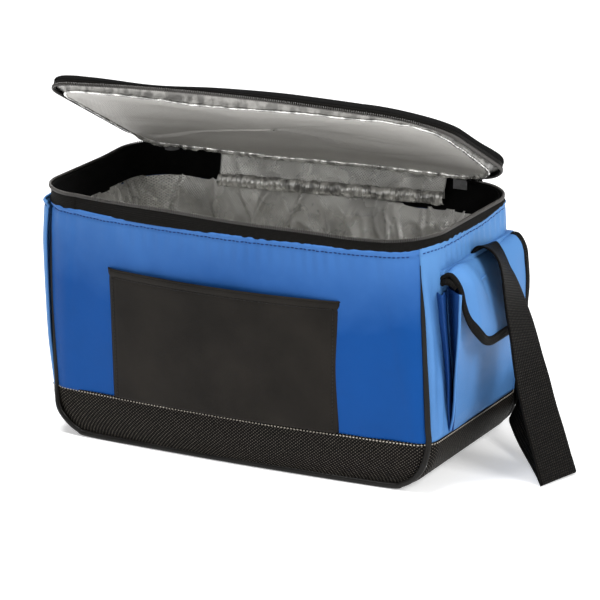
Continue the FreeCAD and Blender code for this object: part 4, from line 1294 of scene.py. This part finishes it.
# ---------------------------------------------------------------- CAD shapes that stay: their materials
KEPT = {"gunmetal": ("slider_left", "slider_right", "pull_left", "pull_right"),
        "foam": ("foam_front", "foam_back", "foam_left", "foam_right", "foam_bottom"),
        "board": ("base_board",), "blue_side_painted_light": ("flap_seam_strip",)}
for mat, names in KEPT.items():
    for name in names:
        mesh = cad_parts[name].data
        mesh.materials.clear()
        mesh.materials.append(MATS[mat])

# ---------------------------------------------------------------- floor, lights, camera
floor = bpy.data.meshes.new("floor")
HALF = 12.0           # half the floor's width, in metres
corners = [(x * HALF, y * HALF, 0) for x, y in ((-1, -1), (1, -1), (1, 1), (-1, 1))]
floor.from_pydata(corners, [], [(0, 1, 2, 3)])
floor_obj = bpy.data.objects.new("floor", floor)
bpy.context.scene.collection.objects.link(floor_obj)
fm = bpy.data.materials.new("floor")
fm.use_nodes = True
fb = fm.node_tree.nodes["Principled BSDF"]
fb.inputs["Base Color"].default_value = (0.85, 0.85, 0.85, 1)
fb.inputs["Roughness"].default_value = 0.9
fb.inputs["Specular IOR Level"].default_value = 0.1
fb.inputs["Emission Color"].default_value = (1, 1, 1, 1)
fb.inputs["Emission Strength"].default_value = 0.42
floor.materials.append(fm)


def aim(obj, target):
    """Turn a light so that it looks at the target."""
    d = np.array(target, float) - np.array(obj.location)
    yaw = math.atan2(d[1], d[0])
    pitch = math.atan2(d[2], math.hypot(d[0], d[1]))
    obj.rotation_euler = (math.pi / 2 + pitch, 0, yaw - math.pi / 2)


def area(name, loc, target, size, power):
    light = bpy.data.lights.new(name, "AREA")
    light.energy = power
    light.size = size
    o = bpy.data.objects.new(name, light)
    o.location = loc
    bpy.context.scene.collection.objects.link(o)
    aim(o, target)


area("key", (2.1, -0.6, 1.7), (0, 0, 0.1), 1.0, 46)
area("top", (-0.3, -0.42, 2.4), (0, 0, 0.1), 0.9, 54)
area("fill", (-0.7, -2.7, 0.55), (0, 0, 0.15), 1.1, 10)
world = bpy.data.worlds.new("studio")
world.use_nodes = True
world.node_tree.nodes["Background"].inputs["Color"].default_value = (1, 1, 1, 1)
world.node_tree.nodes["Background"].inputs["Strength"].default_value = 0.34
bpy.context.scene.world = world
bpy.context.scene.view_settings.view_transform = "Standard"

# a long lens at the object's viewing angle
YAW, PITCH = math.radians(27.27), math.radians(16.6)
cam = bpy.data.cameras.new("camera")
cam.sensor_width = 36.0
cam.lens = 218.02
cam.clip_end = 100.0
cam_obj = bpy.data.objects.new("camera", cam)
cam_obj.location = (1.15526, -2.22096, 0.84655)
cam_obj.rotation_euler = (math.pi / 2 - PITCH, 0, YAW)
bpy.context.scene.collection.objects.link(cam_obj)
bpy.context.scene.camera = cam_obj
